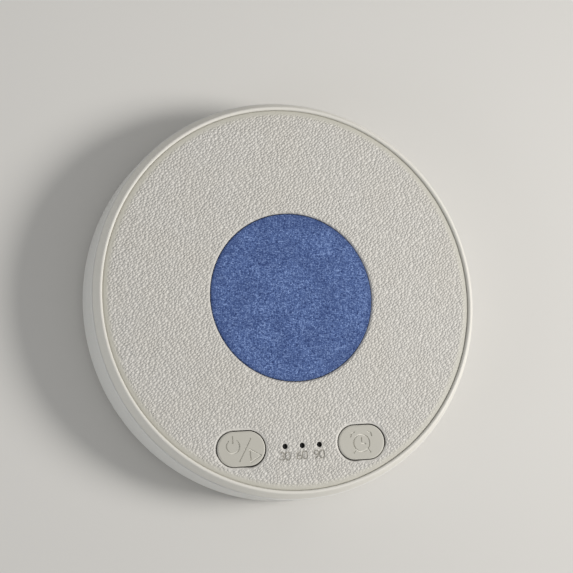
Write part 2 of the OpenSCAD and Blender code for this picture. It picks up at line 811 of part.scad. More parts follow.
// The driver's pressed frame, open at the back between its spokes
module driver_frame() {
  window = [basket_r - yoke_r - 2.4, 7];
  pad = [8, 1.3, 2.6];
  color([0.12, 0.12, 0.13]) difference() {
    union() {
      rotate_extrude() polygon([
        [yoke_r, yoke_top_z - basket_t], [basket_r, yoke_top_z - basket_t], [basket_r, flange_z - 1],
        [driver_r, flange_z - 1], [driver_r, flange_z], [basket_r - basket_t, flange_z],
        [basket_r - basket_t, yoke_top_z], [yoke_r, yoke_top_z]]);
      translate([-pad.x / 2, terminal_y, terminal_z - pad.z / 2]) cube(pad);
    }
    translate([0, 0, yoke_top_z]) cylinder(r = basket_r - basket_t, h = driver_h);
    for (a = [0:60:300]) rotate(a)
      translate([yoke_r + 1, -window.y / 2, yoke_top_z - 2 * basket_t]) cube([window.x, window.y, 3 * basket_t]);
  }
}
module driver_yoke() {
  color(STEEL) rotate_extrude() polygon([
    [0, yoke_z], [yoke_r, yoke_z], [yoke_r, yoke_top_z], [yoke_in_r, yoke_top_z],
    [yoke_in_r, magnet_z], [0, magnet_z]]);
}
module driver_magnet() {
  color([0.8, 0.8, 0.82]) translate([0, 0, magnet_z]) cylinder(r = magnet_r, h = magnet_h);
}
module driver_pole_plate() {
  color(STEEL) translate([0, 0, pole_z]) cylinder(r = pole_r, h = pole_t);
}
module voice_coil() {
  low_z = magnet_z + cone_travel + 0.4;
  color([0.72, 0.4, 0.2]) translate([0, 0, low_z]) tube(coil_r, coil_in_r, neck_z - low_z);
}
cone_t = 0.35;
shelf_w = 0.75;
module cone() {
  lip_w = 1;
  color([0.1, 0.1, 0.1]) rotate_extrude() polygon([
    [coil_r, neck_z - cone_t], [coil_r + shelf_w, neck_z - cone_t], [cone_r - lip_w, flange_z - cone_t],
    [cone_r, flange_z - cone_t], [cone_r, flange_z], [cone_r - lip_w, flange_z],
    [coil_r + shelf_w, neck_z], [coil_r, neck_z]]);
}
module dust_cap() {
  base_r = coil_r + shelf_w - 0.1;
  rise = 1.6;
  ball_r = (base_r * base_r + rise * rise) / (2 * rise);
  centre = [0, neck_z + rise - ball_r];
  edge_a = asin((ball_r - rise) / ball_r);
  inner_r = ball_r - cone_t;
  inner_a = asin((ball_r - rise) / inner_r);
  color([0.14, 0.14, 0.14]) rotate_extrude() polygon(concat(
    arc_points(centre, ball_r, edge_a, 90, 10),
    arc_points(centre, inner_r, 90, inner_a, 10)));
}
module cone_surround() {
  outer_r = roll_w / 2;
  lip_r = driver_r - 0.4;
  color([0.06, 0.06, 0.06]) rotate_extrude() {
    intersection() {
      translate([roll_mid_r, flange_z]) ring(outer_r - surround_t / 2, surround_t);
      translate([0, flange_z]) square([driver_r, driver_h]);
    }
    translate([cone_r - 1, flange_z]) square([roll_mid_r - outer_r + surround_t / 2 - cone_r + 1, surround_t]);
    translate([roll_mid_r + outer_r - surround_t / 2, flange_z])
      square([lip_r - roll_mid_r - outer_r + surround_t / 2, surround_t]);
  }
}
module driver_terminals() {
  strip = terminal_size;
  lug = lug_size;
  strip_y = terminal_y - strip.y;
  color([0.55, 0.38, 0.2]) {
    translate([-strip.x / 2, strip_y, terminal_z - strip.z / 2]) cube(strip);
    for (side = [-1, 1]) translate([side * speaker_lead_x - lug.x / 2, strip_y - lug.y, terminal_z - lug.z / 2])
      cube([lug.x, lug.y + 0.1, lug.z]);
  }
}
module driver_gasket() {
  color([0.2, 0.2, 0.2]) translate([0, 0, lip_top_z]) tube(driver_r - 0.4, sound_r - 0.4, gasket_t);
}
module magnet_pad() {
  color([0.25, 0.25, 0.25]) translate([0, 0, floor_z]) cylinder(r = yoke_r - 1, h = magnet_pad_t);
}
module speaker_lead_red() {
  route = [for (p = SPEAKER_ROUTE) p + [speaker_lead_x, 0, 0]];
  color([0.7, 0.08, 0.06]) lead(smooth_route(route, 2), speaker_lead_d);
}
module speaker_lead_black() {
  route = [for (p = SPEAKER_ROUTE) p - [speaker_lead_x, 0, 0]];
  color([0.06, 0.06, 0.06]) lead(smooth_route(route, 2), speaker_lead_d);
}

// Fasteners and feet

// The cross recess of a screw, sunk from its top
module cross_recess(d, depth) {
  for (a = [0, 90]) rotate(a) translate([-d / 2, -d / 8, -depth]) cube([d, d / 4, depth + 1]);
}
module case_screws() {
  color(STEEL) at_bosses() translate([0, 0, head_seat_z]) {
    cylinder(d = screw_d, h = screw_l);
    rotate([180, 0, 0]) difference() {
      cylinder(d = screw_head_d, h = screw_head_h);
      translate([0, 0, screw_head_h]) cross_recess(0.6 * screw_head_d, 0.6 * screw_head_h);
    }
  }
}
module board_screws() {
  head_h = 1;
  color(STEEL) at_posts() {
    translate([0, 0, floor_z + 0.5]) cylinder(r = post_hole_r - fit_gap / 2, h = board_z - floor_z - 0.4);
    translate([0, 0, board_z]) difference() {
      cylinder(r = 1.6, h = head_h);
      translate([0, 0, head_h]) cross_recess(1.9, 0.6);
    }
  }
}
module rubber_feet() {
  edge_r = min(0.4, foot_h);
  top_z = rear_z + foot_recess;
  color([0.35, 0.35, 0.34]) at_bosses() rotate_extrude() {
    square([foot_d / 2 - edge_r, top_z]);
    translate([0, edge_r]) square([foot_d / 2, top_z - edge_r]);
    translate([foot_d / 2 - edge_r, edge_r]) circle(edge_r);
  }
}

rear_shell();
front_frame();
front_pad();
speaker_cloth();
grille_plate();
power_key();
timer_key();
power_switch();
power_plunger();
timer_switch();
timer_plunger();
light_guide();
lamp_30();
lamp_60();
lamp_90();
main_board();
sound_chip();
amplifier_chip();
memory_chip();
clock_crystal();
capacitors();
charge_port_shell();
charge_port_tongue();
battery_socket();
battery_plug();
battery_lead_red();
battery_lead_black();
battery_cell();
battery_guard_board();
battery_tape();
speaker_lead_red();
speaker_lead_black();
driver_frame();
driver_yoke();
driver_magnet();
driver_pole_plate();
voice_coil();
cone();
dust_cap();
cone_surround();
driver_terminals();
driver_gasket();
magnet_pad();
case_screws();
board_screws();
rubber_feet();
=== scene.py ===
"""Pillow speaker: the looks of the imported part.

One slim round speaker that lies on its back on four rubber feet. Everything is in metres, in the frame of the
solids: +Z points out of the front, -Y from the middle to the two keys, and +X to the timer key.
"""

from __future__ import annotations

import logging
import math
from abc import ABC
from dataclasses import dataclass, field
from enum import Enum
from typing import ClassVar, Union

import bmesh
import bpy
import numpy as np
from mathutils import Matrix, Vector


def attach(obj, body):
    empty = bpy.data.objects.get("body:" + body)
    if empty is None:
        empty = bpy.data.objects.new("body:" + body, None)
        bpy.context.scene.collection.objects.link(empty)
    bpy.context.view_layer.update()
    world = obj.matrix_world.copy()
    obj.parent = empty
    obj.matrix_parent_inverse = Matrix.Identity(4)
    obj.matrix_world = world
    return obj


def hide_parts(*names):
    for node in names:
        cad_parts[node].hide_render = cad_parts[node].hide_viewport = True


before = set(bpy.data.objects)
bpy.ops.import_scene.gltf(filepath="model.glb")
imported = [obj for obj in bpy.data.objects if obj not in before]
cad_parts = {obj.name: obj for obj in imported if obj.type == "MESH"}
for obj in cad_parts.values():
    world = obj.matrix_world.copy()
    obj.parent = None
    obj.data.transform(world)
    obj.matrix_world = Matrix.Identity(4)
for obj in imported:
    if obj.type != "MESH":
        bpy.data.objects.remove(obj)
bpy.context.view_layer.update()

LOG = logging.getLogger("pillow_speaker")
MM = 0.001
Socket = bpy.types.NodeSocket
Value = Union[float, tuple, Socket]
Inputs = dict[Union[str, int], Value]
Outputs = dict[str, Socket]
Colour = tuple[int, int, int]


def linear(colour: Colour) -> tuple[float, float, float, float]:
    """Turns a screen colour into scene light.

    Args:
        colour: red, green and blue from 0 to 255.

    Returns:
        The linear colour with an alpha of 1.
    """
    parts = [c / 255 for c in colour]
    light = [c / 12.92 if c <= 0.04045 else ((c + 0.055) / 1.055) ** 2.4 for c in parts]
    return (light[0], light[1], light[2], 1.0)


class Graph:
    """A node tree that is filled one node at a time."""

    def __init__(self, tree: bpy.types.NodeTree) -> None:
        """Keeps the tree."""
        self.tree = tree

    def add(self, kind: str, inputs: Inputs | None = None, **settings: object) -> bpy.types.Node:
        """Adds one node.

        Args:
            kind: the node's type without its ShaderNode prefix.
            inputs: numbers, colours or other nodes' outputs by socket name or place.
            settings: the node's own options.

        Returns:
            The new node.
        """
        node = self.tree.nodes.new(kind if kind.startswith("NodeGroup") else "ShaderNode" + kind)
        for option, choice in settings.items():
            setattr(node, option, choice)
        for key, value in (inputs or {}).items():
            socket = node.inputs[key]
            if isinstance(value, Socket):
                self.tree.links.new(value, socket)
            else:
                socket.default_value = value
        return node

    def sum(self, operation: str, a: Value, b: Value = 0.0, clamp: bool = False) -> Socket:
        """Does one sum on numbers and returns its result."""
        return self.add("Math", {0: a, 1: b}, operation=operation, use_clamp=clamp).outputs[0]

    def times(self, a: Value, b: Value) -> Socket:
        """Multiplies two numbers."""
        return self.sum("MULTIPLY", a, b)

    def plus(self, a: Value, b: Value, clamp: bool = False) -> Socket:
        """Adds two numbers."""
        return self.sum("ADD", a, b, clamp)

    def less(self, a: Value, b: Value) -> Socket:
        """Takes the second number from the first."""
        return self.sum("SUBTRACT", a, b)

    def move(self, operation: str, a: Value, b: Value = (0.0, 0.0, 0.0)) -> Socket:
        """Does one sum on vectors and returns its result."""
        return self.add("VectorMath", {0: a, 1: b}, operation=operation).outputs[0]

    def fade(self, value: Value, start: float, end: float, low: float = 0.0, high: float = 1.0) -> Socket:
        """Turns a number between start and end into one between low and high, smoothly."""
        inputs = {"Value": value, "From Min": start, "From Max": end, "To Min": low, "To Max": high}
        return self.add("MapRange", inputs, interpolation_type="SMOOTHSTEP").outputs[0]

    def noise(
        self, vector: Value, scale: float, detail: float = 2.0, rough: float = 0.5, bend: float = 0.0
    ) -> Socket:
        """Adds a noise and returns its height."""
        inputs = {"Vector": vector, "Scale": scale, "Detail": detail, "Roughness": rough, "Distortion": bend}
        return self.add("TexNoise", inputs).outputs[0]

    def blend(self, share: Value, low: Value, high: Value) -> Socket:
        """Mixes two colours and returns the result."""
        node = self.add("Mix", data_type="RGBA")
        for name, value in (("Factor_Float", share), ("A_Color", low), ("B_Color", high)):
            socket = next(s for s in node.inputs if s.identifier == name)
            if isinstance(value, Socket):
                self.tree.links.new(value, socket)
            else:
                socket.default_value = value
        return next(s for s in node.outputs if s.identifier == "Result_Color")

    def stretch(self, vector: Value, x: float, y: float, z: float) -> Socket:
        """Scales a vector along the three axes."""
        return self.move("MULTIPLY", vector, (x, y, z))

    def cells(self, vector: Value, scale: float, feature: str) -> Socket:
        """Adds a Voronoi pattern and returns its distance."""
        return self.add("TexVoronoi", {"Vector": vector, "Scale": scale}, feature=feature).outputs[0]

    def turned(self, vector: Value, angle: float) -> Socket:
        """Turns a vector about Z by an angle in radians."""
        return self.add("VectorRotate", {"Vector": vector, "Angle": angle}, rotation_type="Z_AXIS").outputs[0]

    def wander(self, vector: Value, detail: float, x: float, y: float) -> Socket:
        """Makes a slow sideways drift around zero, of a reach in X and one in Y."""
        drift = self.add("TexNoise", {"Vector": vector, "Scale": 0.35, "Detail": detail}).outputs["Color"]
        return self.stretch(self.move("SUBTRACT", drift, (0.5, 0.5, 0.5)), x, y, 0.0)

    def part(self, vector: Value, axis: str) -> Socket:
        """Takes one axis of a vector."""
        return self.add("SeparateXYZ", {0: vector}).outputs[axis]

    def radius(self, vector: Value) -> Socket:
        """Distance of a place from the Z axis."""
        flat = self.stretch(vector, 1.0, 1.0, 0.0)
        return self.add("VectorMath", {0: flat}, operation="LENGTH").outputs["Value"]

    def bump(self, height: Value, distance: float, **under: Socket) -> Socket:
        """Turns a height into a normal, on top of the one given as Normal."""
        return self.add("Bump", {"Height": height, "Distance": distance, **under}).outputs[0]

    def surface(self, inputs: Inputs) -> None:
        """Ends a material with a principled shader."""
        shader = self.add("BsdfPrincipled", inputs)
        self.add("OutputMaterial", {"Surface": shader.outputs[0]})


def new_material(name: str) -> tuple[bpy.types.Material, Graph]:
    """Makes an empty material and the graph that fills it."""
    made = bpy.data.materials.new(name)
    made.use_nodes = True
    made.node_tree.nodes.clear()
    return made, Graph(made.node_tree)


class Relief(Enum):
    """The relief that a finish carries, each a node group."""

    SPARK = "spark_texture"
    SATIN = "satin_skin"
    BRUSHED = "brushed_lines"
    WOUND = "wound_wire"
    FIBRES = "pressed_fibres"
    FOAM = "foam_cells"
    CIRCUIT = "circuit_tracks"
    CRUMPLED = "crumpled_foil"


class Effects:
    """The shader node groups that several materials share, each built once."""

    def __init__(self) -> None:
        """Starts with no group made."""
        self.made: dict[str, bpy.types.NodeTree] = {}

    def place(self, graph: Graph, name: str, vector: Socket, size: float) -> bpy.types.Node:
        """Places a group in a material, and builds it first if it is new.

        Args:
            graph: the material's graph.
            name: the group's name, which is that of the method that builds it.
            vector: where the pattern is read.
            size: the pattern's size in metres.

        Returns:
            The group's node.
        """
        if name not in self.made:
            tree = bpy.data.node_groups.new(name, "ShaderNodeTree")
            tree.interface.new_socket(name="Vector", in_out="INPUT", socket_type="NodeSocketVector")
            tree.interface.new_socket(name="Size", in_out="INPUT", socket_type="NodeSocketFloat")
            inner = Graph(tree)
            entry = tree.nodes.new("NodeGroupInput")
            at = self.scaled(inner, entry.outputs["Vector"], entry.outputs["Size"])
            results = getattr(self, name)(inner, at)
            for result in results:
                tree.interface.new_socket(name=result, in_out="OUTPUT", socket_type="NodeSocketFloat")
            leave = tree.nodes.new("NodeGroupOutput")
            for result, socket in results.items():
                tree.links.new(socket, leave.inputs[result])
            self.made[name] = tree
        node = graph.tree.nodes.new("ShaderNodeGroup")
        node.node_tree = self.made[name]
        graph.tree.links.new(vector, node.inputs["Vector"])
        node.inputs["Size"].default_value = size
        return node

    @staticmethod
    def scaled(graph: Graph, vector: Socket, size: Socket) -> Socket:
        """Divides a place by the pattern's size."""
        each = graph.sum("DIVIDE", 1.0, size)
        return graph.add("VectorMath", {0: vector, "Scale": each}, operation="SCALE").outputs[0]

    def cast_variation(self, graph: Graph, at: Socket) -> Outputs:
        """Slow patches and fine specks of a moulded colour."""
        patches = graph.fade(graph.noise(at, 1.0, 3.0, 0.55), 0.3, 0.7)
        specks = graph.fade(graph.noise(at, 38.0, 2.0, 0.6), 0.35, 0.75)
        return {"Patches": patches, "Specks": specks}

    def surface_wear(self, graph: Graph, at: Socket) -> Outputs:
        """Hair scratches in patches where a surface gets handled."""
        hairs = []
        for turn, phase in ((0.5, 0.0), (2.1, 9.0)):
            drawn = graph.stretch(graph.turned(at, turn), 0.25, 9.0, 1.0)
            line = graph.noise(graph.move("ADD", drawn, (phase, phase, 0.0)), 1.4, 1.0)
            away = graph.sum("ABSOLUTE", graph.less(line, 0.5))
            hairs.append(graph.fade(away, 0.0, 0.012, 1.0, 0.0))
        patch = graph.fade(graph.noise(at, 0.5, 2.0), 0.52, 0.7)
        rubbed = graph.fade(graph.noise(at, 0.9, 4.0, 0.6), 0.45, 0.8)
        scratches = graph.times(graph.sum("MAXIMUM", hairs[0], hairs[1]), patch)
        return {"Scratches": scratches, "Rubbed": rubbed}

    def spark_texture(self, graph: Graph, at: Socket) -> Outputs:
        """The fine pitted skin of a spark-eroded mould."""
        pits = graph.cells(at, 1.0, "SMOOTH_F1")
        grain = graph.noise(at, 2.4, 3.0, 0.6)
        height = graph.plus(graph.times(pits, 0.55), graph.times(grain, 0.6))
        return {"Height": height, "Mask": graph.fade(height, 0.35, 0.75)}

    def satin_skin(self, graph: Graph, at: Socket) -> Outputs:
        """A smooth moulded skin with a faint flow."""
        skin = graph.noise(at, 1.0, 6.0, 0.62)
        flow = graph.noise(graph.stretch(at, 0.03, 0.12, 0.12), 1.0, 2.0)
        height = graph.plus(graph.times(skin, 0.6), graph.times(flow, 0.4))
        return {"Height": height, "Mask": graph.fade(flow, 0.35, 0.65)}

    def brushed_lines(self, graph: Graph, at: Socket) -> Outputs:
        """Drawing lines of rolled or plated metal."""
        lines = graph.noise(graph.stretch(at, 0.03, 1.0, 1.0), 1.0, 3.0, 0.65)
        return {"Height": lines, "Mask": graph.fade(lines, 0.4, 0.6)}

    def wound_wire(self, graph: Graph, at: Socket) -> Outputs:
        """Turns of wire that lie on each other along Z."""
        z = graph.part(at, "Z")
        wave = graph.sum("ABSOLUTE", graph.sum("SINE", graph.times(z, math.pi)))
        # The mask marks the grooves between the turns, where the finish paints shade.
        return {"Height": graph.sum("POWER", wave, 0.6), "Mask": graph.fade(wave, 0.0, 0.45, 1.0, 0.0)}

    def pressed_fibres(self, graph: Graph, at: Socket) -> Outputs:
        """Fibres pressed flat over each other, as in paper and tape."""
        one = graph.noise(graph.stretch(at, 0.16, 1.0, 1.0), 1.0, 3.0, 0.6, 0.8)
        other = graph.noise(graph.stretch(at, 1.0, 0.16, 1.0), 1.0, 3.0, 0.6, 0.8)
        both = graph.sum("MAXIMUM", one, other)
        return {"Height": both, "Mask": graph.fade(both, 0.5, 0.68)}

    def foam_cells(self, graph: Graph, at: Socket) -> Outputs:
        """Open cells of a foam or a soft rubber skin."""
        cells = graph.cells(at, 1.0, "F1")
        open_cells = graph.fade(cells, 0.1, 0.6)
        # The mask marks the hollows of the cells, where the finish paints shade.
        return {"Height": open_cells, "Mask": graph.fade(cells, 0.15, 0.4, 1.0, 0.0)}

    def circuit_tracks(self, graph: Graph, at: Socket) -> Outputs:
        """Copper areas and tracks that show through a board's mask."""
        tile = graph.move("SNAP", graph.move("ADD", at, (40.13, 40.37, 0.0)), (1.0, 0.5, 1.0))
        block = graph.noise(graph.stretch(tile, 0.37, 0.53, 0.0), 1.0, 1.0)
        copper = graph.fade(block, 0.5, 0.52)
        hatch = graph.add("SeparateXYZ", {0: graph.move("FRACTION", graph.stretch(at, 1.7, 1.7, 1.0))})
        line = graph.sum("MINIMUM", hatch.outputs["X"], hatch.outputs["Y"])
        mask = graph.times(copper, graph.fade(line, 0.04, 0.1, 0.25, 1.0))
        return {"Height": mask, "Mask": mask}

    def crumpled_foil(self, graph: Graph, at: Socket) -> Outputs:
        """Soft creases of a laminated foil pouch."""
        bent = graph.move("ADD", at, graph.add("TexNoise", {"Vector": at, "Scale": 0.6}).outputs[1])
        facets = graph.cells(bent, 0.5, "DISTANCE_TO_EDGE")
        fine = graph.noise(at, 9.0, 3.0)
        height = graph.plus(graph.fade(facets, 0.0, 0.35), graph.times(fine, 0.15))
        # The mask marks the creases, where the finish paints shade.
        return {"Height": height, "Mask": graph.fade(facets, 0.0, 0.06, 1.0, 0.0)}

    def embossed_pebbles(self, graph: Graph, at: Socket) -> Outputs:
        """Rounded pebbles that run on into slanting ridges, one unit apart across the ridges."""
        rows = graph.turned(at, math.radians(-36))
        rows = graph.move("ADD", graph.stretch(rows, 0.66, 1.0, 0.0), graph.wander(rows, 1.0, 0.7, 0.6))
        inputs = {"Vector": rows, "Scale": 1.0, "Randomness": 0.8}
        core = graph.add("TexVoronoi", inputs, voronoi_dimensions="2D", feature="F1")
        inputs["Smoothness"] = 0.6
        soft = graph.add("TexVoronoi", inputs, voronoi_dimensions="2D", feature="SMOOTH_F1").outputs[0]
        del inputs["Smoothness"]
        edge = graph.add("TexVoronoi", inputs, voronoi_dimensions="2D", feature="DISTANCE_TO_EDGE").outputs[0]
        own = graph.add("SeparateColor", {0: core.outputs["Color"]}).outputs[0]
        height = graph.plus(graph.fade(soft, 0.75, -0.1, 0.0, 0.8), graph.fade(edge, 0.0, 0.3, 0.0, 0.2))
        height = graph.times(height, graph.fade(own, 0.0, 1.0, 0.75, 1.0))
        return {"Height": height, "Crease": graph.fade(edge, 0.2, 0.0)}

    def leather_wrinkles(self, graph: Graph, at: Socket) -> Outputs:
        """Pores and hair creases on top of the embossed pebbles."""
        creases = graph.cells(at, 1.0, "DISTANCE_TO_EDGE")
        pores = graph.cells(at, 2.3, "F1")
        skin = graph.noise(at, 3.2, 4.0, 0.65)
        height = graph.times(graph.fade(creases, 0.0, 0.16), graph.fade(pores, 0.0, 0.3, 0.6, 1.0))
        height = graph.plus(graph.times(height, 0.55), graph.times(skin, 0.45))
        return {"Height": height, "Pores": graph.fade(pores, 0.0, 0.22, 1.0, 0.0)}

    def plain_weave(self, graph: Graph, at: Socket) -> Outputs:
        """One-over-one weave of uneven melange yarn, one unit from thread to thread."""
        at = graph.move("ADD", at, graph.wander(at, 2.0, 1.2, 1.2))
        parts = graph.add("SeparateXYZ", {0: at})
        cell = graph.add("SeparateXYZ", {0: graph.move("FLOOR", at)})
        x, y = parts.outputs["X"], parts.outputs["Y"]
        column, row = cell.outputs["X"], cell.outputs["Y"]
        weft_up = graph.sum("FLOORED_MODULO", graph.plus(column, row), 2.0)
        across_warp = graph.sum("ABSOLUTE", graph.less(graph.less(x, column), 0.5))
        across_weft = graph.sum("ABSOLUTE", graph.less(graph.less(y, row), 0.5))
        yarns = []
        for along, thread, offset in ((x, row, 3.7), (y, column, 91.3)):
            along_yarn = graph.times(along, 0.5)
            own = graph.plus(graph.times(thread, 7.31), offset)
            place = graph.add("CombineXYZ", {"X": along_yarn, "Y": own}).outputs[0]
            yarns.append(graph.noise(place, 1.0, 4.0, 0.7))
        shade = self.choose(graph, weft_up, yarns[1], yarns[0])
        across = self.choose(graph, weft_up, across_warp, across_weft)
        along = self.choose(graph, weft_up, across_weft, across_warp)
        dome = graph.times(graph.fade(across, 0.5, 0.12), graph.fade(along, 0.55, 0.1, 0.45, 1.0))
        twist = graph.noise(graph.stretch(at, 2.5, 2.5, 1.0), 2.0, 3.0, 0.7)
        height = graph.plus(dome, graph.times(twist, 0.35))
        return {"Height": height, "Yarn": shade, "Gap": graph.fade(dome, 0.35, 0.05)}

    @staticmethod
    def choose(graph: Graph, share: Socket, low: Socket, high: Socket) -> Socket:
        """Takes the low number where the share is 0 and the high one where it is 1."""
        rest = graph.times(low, graph.less(1.0, share))
        return graph.plus(rest, graph.times(high, share))


EFFECTS = Effects()


@dataclass(frozen=True)
class Finish:
    """One finish of a moulded, metal or pressed piece, with its relief sized in millimetres."""

    name: str
    colour: Colour
    shade: Colour
    relief: Relief
    relief_size: float
    relief_height: float
    roughness: float
    metallic: float = 0.0
    coat: float = 0.0
    glassy: float = 0.0
    shade_share: float = 0.5
    wear_share: float = 0.25
    sunk_below: float = 0.0

    def material(self) -> bpy.types.Material:
        """Makes the material, or returns the one made before."""
        title = f"{self.name}_finish"
        made = bpy.data.materials.get(title)
        if made is not None:
            return made
        made, graph = new_material(title)
        at = graph.add("TexCoord").outputs["Object"]
        relief = EFFECTS.place(graph, self.relief.value, at, self.relief_size * MM)
        cast = EFFECTS.place(graph, "cast_variation", at, 9 * MM)
        wear = EFFECTS.place(graph, "surface_wear", at, 7 * MM)
        base = self.paint(graph, at, relief, cast, wear)
        patches = graph.times(cast.outputs["Patches"], 0.14)
        rubbed = graph.times(wear.outputs["Rubbed"], -0.48 * self.wear_share)
        rough = graph.plus(graph.plus(patches, rubbed), self.roughness - 0.05, clamp=True)
        scratched = graph.times(wear.outputs["Scratches"], -0.3)
        height = graph.plus(relief.outputs["Height"], scratched)
        graph.surface({
            "Base Color": base,
            "Roughness": rough,
            "Normal": graph.bump(height, self.relief_height * MM),
            "Metallic": self.metallic,
            "Coat Weight": self.coat,
            "Coat Roughness": 0.2,
            "Transmission Weight": self.glassy,
        })
        return made

    def paint(
        self, graph: Graph, at: Socket, relief: bpy.types.Node, cast: bpy.types.Node, wear: bpy.types.Node
    ) -> Socket:
        """Builds the base colour.

        Args:
            graph: the material's graph.
            at: the place on the piece.
            relief: the finish's own relief group.
            cast: the group of slow patches and specks.
            wear: the group of scratches and rubbed patches.

        Returns:
            The colour's output.
        """
        # The relief's mask draws the shade colour: the material's own pattern for most reliefs, painted shade
        # in the hollows of wound wire, foam cells and foil creases.
        share = graph.times(relief.outputs["Mask"], self.shade_share * 0.6)
        slow = graph.times(cast.outputs["Patches"], self.shade_share * 0.25)
        specks = graph.times(cast.outputs["Specks"], self.shade_share * 0.15)
        share = graph.plus(graph.plus(share, slow), specks, clamp=True)
        base = graph.blend(share, linear(self.colour), linear(self.shade))
        worn = tuple(min(255, int(c + 0.35 * (232 - c))) if c < 232 else c for c in self.colour)
        scuffs = graph.times(wear.outputs["Scratches"], self.wear_share)
        base = graph.blend(scuffs, base, linear(worn))
        if self.sunk_below:
            base = self.lighten_sunk(graph, at, base)
        return base

    def lighten_sunk(self, graph: Graph, at: Socket, base: Socket) -> Socket:
        """Paints light onto the upward floors of signs sunk below a level, to make up for the shade that
        falls in them.
        """
        z = graph.part(at, "Z")
        sunk = graph.fade(z, self.sunk_below - 0.04 * MM, self.sunk_below - 0.1 * MM)
        facing = graph.add("SeparateXYZ", {0: graph.add("TexCoord").outputs["Normal"]}).outputs["Z"]
        share = graph.times(sunk, graph.fade(facing, 0.5, 0.9))
        # Painted light: a pale colour on the sunk floors that face up.
        pale = linear((236, 233, 224))
        return graph.blend(graph.times(share, 0.8), base, pale)


@dataclass(frozen=True)
class LeatherFinish:
    """Matt greige leatherette, pebbled where the piece's own attribute says so."""

    name: str = "pebbled_leather"
    colour: Colour = (210, 207, 201)
    # colour of the painted shade in the pebbles' creases and pores
    crease: Colour = (143, 139, 129)
    # the smooth margin's own yellower tone, darkened with painted shadow of the rim's bead
    margin_tone_and_shadow: Colour = (191, 188, 177)
    # colour of the painted shade in the sunk figures
    figure: Colour = (138, 133, 120)
    # colour of the painted shade on the walls of the openings
    gap: Colour = (34, 28, 21)
    roughness: float = 0.44
    grain_pitch: float = 0.53 * MM
    grain_height: float = 0.26 * MM
    skin_size: float = 0.26 * MM
    skin_height: float = 0.016 * MM

    def material(self) -> bpy.types.Material:
        """Makes the leather's material."""
        made, graph = new_material(self.name)
        at = graph.add("TexCoord").outputs["Object"]
        cover = graph.add("Attribute", attribute_name="cover").outputs["Fac"]
        mark = graph.add("Attribute", attribute_name="mark").outputs["Fac"]
        pebbles = EFFECTS.place(graph, "embossed_pebbles", at, self.grain_pitch)
        skin = EFFECTS.place(graph, "leather_wrinkles", at, self.skin_size)
        cast = EFFECTS.place(graph, "cast_variation", at, 11 * MM)
        wear = EFFECTS.place(graph, "surface_wear", at, 8 * MM)
        # Painted shade: the creases between pebbles and the pores are darkened towards the crease colour.
        crease_and_pore_shade = graph.times(graph.times(pebbles.outputs["Crease"], cover), 0.3)
        crease_and_pore_shade = graph.plus(crease_and_pore_shade, graph.times(skin.outputs["Pores"], 0.1), clamp=True)
        base = graph.blend(crease_and_pore_shade, linear(self.colour), linear(self.crease))
        warm = tuple(c - d for c, d in zip(self.colour, (4, 6, 10)))
        slow = graph.times(cast.outputs["Patches"], 0.35)
        base = graph.blend(slow, base, graph.blend(crease_and_pore_shade, linear(warm), linear(self.crease)))
        out = graph.radius(at)
        # Near the rim the leather turns to the margin colour: partly its own smooth, yellower tone, partly
        # painted shadow of the rim's bead.
        base = graph.blend(graph.fade(out, 41.0 * MM, 42.3 * MM, 0.0, 1.0), base, linear(self.margin_tone_and_shadow))
        # Painted shade in the sunk figures: their strokes are darkened towards the figure colour.
        base = graph.blend(graph.times(mark, 0.75), base, linear(self.figure))
        # Painted shade: below the face, the walls of the openings are darkened nearly to black.
        z = graph.part(at, "Z")
        recess_shade = graph.times(graph.fade(z, 14.76 * MM, 14.56 * MM), graph.fade(out, 40.0 * MM, 39.0 * MM))
        base = graph.blend(recess_shade, base, linear(self.gap))
        polish = graph.times(graph.times(pebbles.outputs["Height"], cover), -0.1)
        rubbed = graph.times(wear.outputs["Rubbed"], -0.05)
        rough = graph.plus(graph.plus(polish, rubbed), self.roughness + 0.08, clamp=True)
        fine = graph.bump(skin.outputs["Height"], self.skin_height)
        grain = graph.bump(graph.times(pebbles.outputs["Height"], cover), self.grain_height, Normal=fine)
        graph.surface({"Base Color": base, "Roughness": rough, "Normal": grain})
        return made


